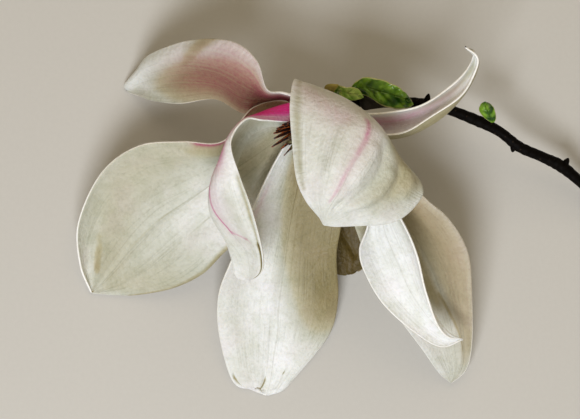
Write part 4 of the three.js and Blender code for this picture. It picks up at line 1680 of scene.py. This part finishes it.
# Rose strokes are the tepals' own colour. The shade strokes are painted shade: in hollows and folds, in
# grooves by rolled margins, on sides turned from the key light and on tepals that lie under others.
TEPALS = (
    Tepal(
        "tepal_1",
        whorl=0,
        angle=155,
        belly=((0, 0, 1, 0.5, 0), (0, 0, -2.5, -1.5, 0)),
        strokes=(
            pink(IN, 0.55, 0.42, (0.4, 0.1), (0.5, 0.39), firmness=4.0),
            pink(IN, 0.3, 0.68, (0.5, 0.1), (0.66, 0.29), fade=0.1),
            pink(IN, 0.14, 0.6, (0.1, 0.1), (0.2, 0.3), fade=0.5),
            painted_shade(IN, 0.52, 0.84, (0.5, 0.34), (0.38, 0.48), firmness=4.0),
            painted_shade(IN, 0.07, 0.76, (1.0, 0.56), (0.7, 0.585), (0.39, 0.64), (0.25, 0.69), fade=0.3),
            painted_shade(IN, 0.3, 0.45, (0.1, 0.7), (0.2, 0.95)),
            painted_shade(IN, 0.6, 0.16, (0.6, 0.7), (0.5, 0.95)),
            painted_shade(IN, 0.1, 0.35, (1.0, 0.3), (1.0, 0.5)),
        ),
        creases=(Crease(((0.95, 0.57), (0.57, 0.6), (0.39, 0.64), (0.2, 0.7)), 0.1, 0.8),),
        seed=3,
    ),
    Tepal(
        "tepal_2",
        whorl=1,
        angle=212,
        belly=((0, 0, 0, -1, -1.5, -1, 0), (0, 0, 0, 1, 2.5, 4, 2)),
        strokes=(
            pink(IN, 0.045, 0.48, (1.0, 0.3), (1.0, 0.46)),
            pink(OUT, 0.12, 0.7, (1.0, 0.1), (1.0, 0.45)),
            pink(IN, 0.14, 0.35, (0.95, 0.1), (0.95, 0.3), fade=0.2),
            painted_shade(IN, 0.2, 0.8, (0.95, 0.1), (0.95, 0.3)),
            painted_shade(IN, 0.38, 0.64, (0.45, 0.05), (0.45, 0.21), firmness=4.0),
            painted_shade(IN, 0.08, 0.8, (0.66, 0.86), (0.72, 0.8), (0.82, 0.76), (0.9, 0.74), fade=0.6),
            painted_shade(IN, 0.5, 0.52, (0.95, 0.5), (0.8, 0.7), (0.4, 0.85), (0.1, 0.72)),
            painted_shade(IN, 0.008, 0.6, (0.5, 0.25), (0.51, 0.6), (0.505, 0.95)),
            painted_shade(IN, 0.012, 0.45, (0.66, 0.3), (0.75, 0.5), (0.72, 0.7)),
            painted_shade(IN, 0.012, 0.5, (0.81, 0.3), (0.88, 0.45), (0.86, 0.6)),
            painted_shade(IN, 0.012, 0.4, (0.34, 0.3), (0.28, 0.5), (0.32, 0.7)),
            painted_shade(IN, 0.15, 0.85, (0.88, 0.3), (0.95, 0.5), fade=0.35),
            painted_shade(IN, 0.05, 0.7, (0.0, 0.45), (0.0, 0.82)),
            painted_shade(IN, 0.03, 1.0, (0.5, 0.985), (0.5, 1.0)),
        ),
        creases=(
            Crease(((0.5, 0.25), (0.5, 0.6), (0.5, 0.95)), 0.03, 0.5),
            Crease(((0.65, 0.25), (0.75, 0.5), (0.72, 0.7)), 0.06, 0.7),
            Crease(((0.8, 0.25), (0.87, 0.45), (0.85, 0.6)), 0.06, -0.5),
            Crease(((0.35, 0.25), (0.28, 0.5), (0.32, 0.7)), 0.06, 0.5),
            Crease(((0.93, 0.7), (0.82, 0.76), (0.72, 0.8), (0.62, 0.9)), 0.08, 0.7),
        ),
        ripple_mm=0.45,
        seed=5,
    ),
    Tepal(
        "tepal_3",
        whorl=2,
        angle=150,
        belly=((0, 0, 1.5, 1.5, 0.5, 0), (0, 0, 0.5, 2, 0.5, 0)),
        strokes=(
            pink(OUT, 0.28, 1.25, (0.6, 0.05), (0.6, 0.37), fade=0.1, firmness=3.0),
            pink(OUT, 0.2, 0.5, (0.95, 0.05), (0.95, 0.33)),
            pink(OUT, 0.024, 0.65, (0.5, 0.36), (0.5, 0.73)),
            pink(OUT, 0.014, 0.5, (0.5, 0.73), (0.62, 0.735), (0.8, 0.742), (0.83, 0.76), fade=0.5),
            pink(OUT, 0.16, 0.18, (0.55, 0.4), (0.55, 0.7)),
            painted_shade(IN, 0.7, 0.57, (0.4, 0.1), (0.4, 0.5), fade=0.1),
            painted_shade(OUT, 0.03, 0.6, (0.97, 0.55), (0.95, 0.72), (0.93, 0.78)),
            painted_shade(OUT, 0.035, 1.5, (0.94, 0.77), (0.93, 0.84), (0.95, 0.95), firmness=4.0),
            painted_shade(OUT, 0.12, 0.3, (0.8, 0.62), (0.8, 0.8)),
            painted_shade(OUT, 0.5, 0.22, (0.4, 0.8), (0.5, 1.0)),
        ),
        creases=(
            Crease(((0.95, 0.5), (0.94, 0.72), (0.93, 0.8), (0.94, 0.98)), 0.035, -0.6),
            Crease(((0.5, 0.36), (0.5, 0.73)), 0.04, 0.25),
        ),
        seed=7,
    ),
    Tepal(
        "tepal_4",
        whorl=2,
        angle=250,
        belly=((0, 0, 0.5, -0.5, -1, -1, -1, 0), (0, 0, 0.5, 1, 0.5, -0.5, -1, 0)),
        strokes=(
            painted_shade(IN, 0.38, 0.95, (0.42, 0.1), (0.4, 0.26), (0.26, 0.4), (0.08, 0.52), firmness=4.0),
            painted_shade(IN, 0.16, 0.7, (0.1, 0.5), (0.02, 0.64), fade=0.3),
            painted_shade(IN, 0.2, 0.22, (0.9, 0.58), (0.8, 0.76)),
            painted_shade(IN, 0.012, 1.0, (0.575, 0.79), (0.61, 0.815), (0.73, 0.89)),
            painted_shade(IN, 0.014, 0.9, (0.96, 0.79), (0.93, 0.82)),
            painted_shade(IN, 0.009, 1.2, (0.307, 0.771), (0.309, 0.772)),
            pink(IN, 0.05, 0.2, (0.92, 0.36), (0.94, 0.42)),
        ),
        creases=(
            Crease(((0.5, 0.4), (0.52, 0.6), (0.56, 0.78)), 0.03, 0.3),
            Crease(((0.56, 0.76), (0.61, 0.815), (0.73, 0.92)), 0.03, 0.6),
            Crease(((0.9, 0.74), (0.94, 0.84)), 0.04, 0.5),
            Crease(((0.8, 0.5), (0.82, 0.72)), 0.08, 0.45),
        ),
        notches=(Notch(0.72, 0.05, 0.07), Notch(0.94, 0.02, 0.03)),
        ripple_mm=0.45,
        seed=11,
    ),
    Tepal(
        "tepal_5",
        whorl=1,
        angle=75,
        strokes=(
            pink(OUT, 0.03, 0.42, (0.47, 0.44), (0.5, 0.53), (0.48, 0.76), (0.45, 0.84), fade=0.4),
            pink(OUT, 0.1, 0.13, (0.47, 0.4), (0.5, 0.53), (0.48, 0.76)),
            pink(OUT, 0.12, 0.2, (0.12, 0.38), (0.3, 0.45)),
            painted_shade(OUT, 0.2, 0.8, (0.8, 0.35), (0.88, 0.55), (0.78, 0.72), fade=0.35),
            painted_shade(OUT, 0.2, 0.25, (0.5, 0.35), (0.75, 0.5)),
            painted_shade(OUT, 0.035, 0.5, (0.05, 0.3), (0.045, 0.5), (0.05, 0.72)),
            painted_shade(OUT, 0.7, 0.2, (0.5, 0.5), (0.5, 0.9)),
            painted_shade(OUT, 0.2, 0.45, (0.2, 0.35), (0.5, 0.4)),
        ),
        creases=(
            Crease(((0.66, 0.45), (0.7, 0.66), (0.66, 0.84)), 0.045, -1.5),
            Crease(((0.74, 0.55), (0.76, 0.7), (0.7, 0.86)), 0.03, 0.9),
            Crease(((0.8, 0.5), (0.83, 0.7), (0.76, 0.88)), 0.03, -1.0),
            Crease(((0.88, 0.5), (0.9, 0.7)), 0.04, 1.0),
            Crease(((0.58, 0.5), (0.58, 0.74)), 0.04, 1.0),
            Crease(((0.62, 0.72), (0.58, 0.9)), 0.03, -0.7),
            Crease(((0.36, 0.45), (0.34, 0.7)), 0.05, 0.6),
            Crease(((0.24, 0.5), (0.2, 0.72)), 0.05, -0.5),
            Crease(((0.47, 0.44), (0.5, 0.53), (0.48, 0.76), (0.45, 0.84)), 0.04, 0.2),
            Crease(((0.04, 0.45), (0.05, 0.75)), 0.04, -0.15),
        ),
        ripple_mm=0.45,
        seed=13,
    ),
    Tepal(
        "tepal_6",
        whorl=2,
        angle=330,
        belly=((0, 0, 1, 1.5, 1, 0), (0, 0, 1, 1.5, 1, 0)),
        strokes=(
            painted_shade(IN, 0.12, 0.35, (0.1, 0.42), (0.1, 0.54), fade=0.5),
            painted_shade(IN, 0.03, 0.8, (0.7, 0.985), (0.85, 0.985)),
        ),
        seed=17,
    ),
    Tepal(
        "tepal_7",
        whorl=1,
        angle=320,
        belly=((0, 0, -0.5, -1.5, -2, -1, 0, 0), (0, 0)),
        strokes=(
            painted_shade(IN, 0.36, 0.85, (0.3, 0.35), (0.25, 0.6), (0.15, 0.78), fade=0.3, firmness=3.0),
            painted_shade(IN, 0.6, 0.38, (0.4, 0.7), (0.4, 1.0)),
            pink(IN, 0.4, 0.15, (0.15, 0.4), (0.15, 0.7)),
            painted_shade(IN, 0.14, 0.6, (0.58, 0.5), (0.58, 0.66)),
            painted_shade(IN, 0.25, 0.6, (0.9, 0.35), (0.85, 0.6)),
            painted_shade(IN, 0.04, 0.7, (0.53, 0.66), (0.46, 0.72), (0.37, 0.77), (0.28, 0.83)),
        ),
        creases=(Crease(((0.55, 0.5), (0.53, 0.66), (0.46, 0.72), (0.37, 0.77), (0.24, 0.88)), 0.07, 0.8),),
        seed=19,
    ),
    Tepal(
        "tepal_8",
        whorl=0,
        angle=280,
        strokes=(
            # painted shade over the whole tepal, which lies under the others
            painted_shade(IN, 1.5, 1.6, (0.5, 0.0), (0.5, 1.0)),
            painted_shade(IN, 0.05, 1.0, (0.68, 0.5), (0.65, 0.56), (0.52, 0.64), (0.4, 0.72)),
        ),
        creases=(Crease(((0.68, 0.5), (0.65, 0.56), (0.52, 0.64), (0.4, 0.72)), 0.06, 0.8),),
        seed=23,
    ),
    Tepal(
        "tepal_9",
        whorl=0,
        angle=40,
        strokes=(
            pink(IN, 0.24, 0.42, (0.4, 0.28), (0.36, 0.42), (0.3, 0.6), fade=0.4),
            painted_shade(IN, 0.2, 0.5, (0.2, 0.58), (0.4, 0.8)),
            painted_shade(OUT, 0.6, 0.8, (0.75, 0.3), (0.75, 0.9)),
        ),
        seed=29,
    ),
)


@dataclass
class Greenery:
    """The young leaves and scales on the twig."""

    large_puckers: float = 1.1
    small_puckers: float = 0.5
    far_puckers: float = 0.4

    def build(self) -> list[bpy.types.Object]:
        """Make them all, each in its own finish.

        Returns:
            The new pieces.
        """
        green = LeafFinish("young_leaf_skin").make()
        # the curled leaf's light colour is the painted highlight on its puckers
        pale = LeafFinish("curled_leaf_skin", green="#84B442", light="#C8DE74", deep="#5C8424").make()
        papery = GradedFinish("yellow_brown_scale", ((0.0, "#5E5424"), (1.0, "#A8963E"))).make()
        dark = GradedFinish("dark_bud_scale", ((0.0, "#120D0A"), (1.0, "#261C14"))).make()
        return [
            Leaf("leaf_large", "leaf", puckers=self.large_puckers).build(green),
            Leaf("leaf_small", "young_leaf", puckers=self.small_puckers, veins=4).build(pale),
            Leaf("leaf_scale", "young_leaf").build(papery),
            Leaf("bud_scale", "bud_scale").build(dark),
            Leaf("twig_leaf", "leaf", puckers=self.far_puckers, veins=4).build(green),
        ]


# The carpels' green darkens to their styles' ends, and the cut wood goes from pith to bark.
RECEPTACLE_STOPS: Stops = ((0.0, "#7B7D42"), (1.0, "#5E5A2C"))
CARPEL_STOPS: Stops = ((0.0, "#6B6A3A"), (0.6, "#5A4A2A"), (1.0, "#3A120C"))
WOOD_STOPS: Stops = (
    (0.0, "#6E5A36"),
    (0.14, "#8C7A4C"),
    (0.2, "#D8CCA0"),
    (0.8, "#C9BE86"),
    (0.9, "#6F7A38"),
    (1.0, "#2A2014"),
)


def main() -> None:
    """Build every piece and report it."""
    logging.basicConfig(level=logging.INFO, format="%(message)s")
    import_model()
    Studio().build()
    finishes = [*(TepalFinish(face).make() for face in Face), MarginFinish().make()]
    wood = GradedFinish("fresh_cut_twig_wood", WOOD_STOPS, roughness=0.6, grain_mm=0.25)
    middle, twig = FlowerMiddle(), Twig()
    pieces = [
        *(tepal.build(finishes) for tepal in TEPALS),
        middle.build_receptacle(GradedFinish("green_receptacle", RECEPTACLE_STOPS).make()),
        middle.build_stamens(StamenFinish().make()),
        middle.build_carpels(GradedFinish("green_carpels", CARPEL_STOPS).make()),
        twig.build(BarkFinish().make()),
        twig.build_cut(wood.make()),
        *Greenery().build(),
    ]
    for piece in pieces:
        log.info("%s: %d faces", piece.name, len(piece.data.polygons))


if __name__ == "__main__":
    main()
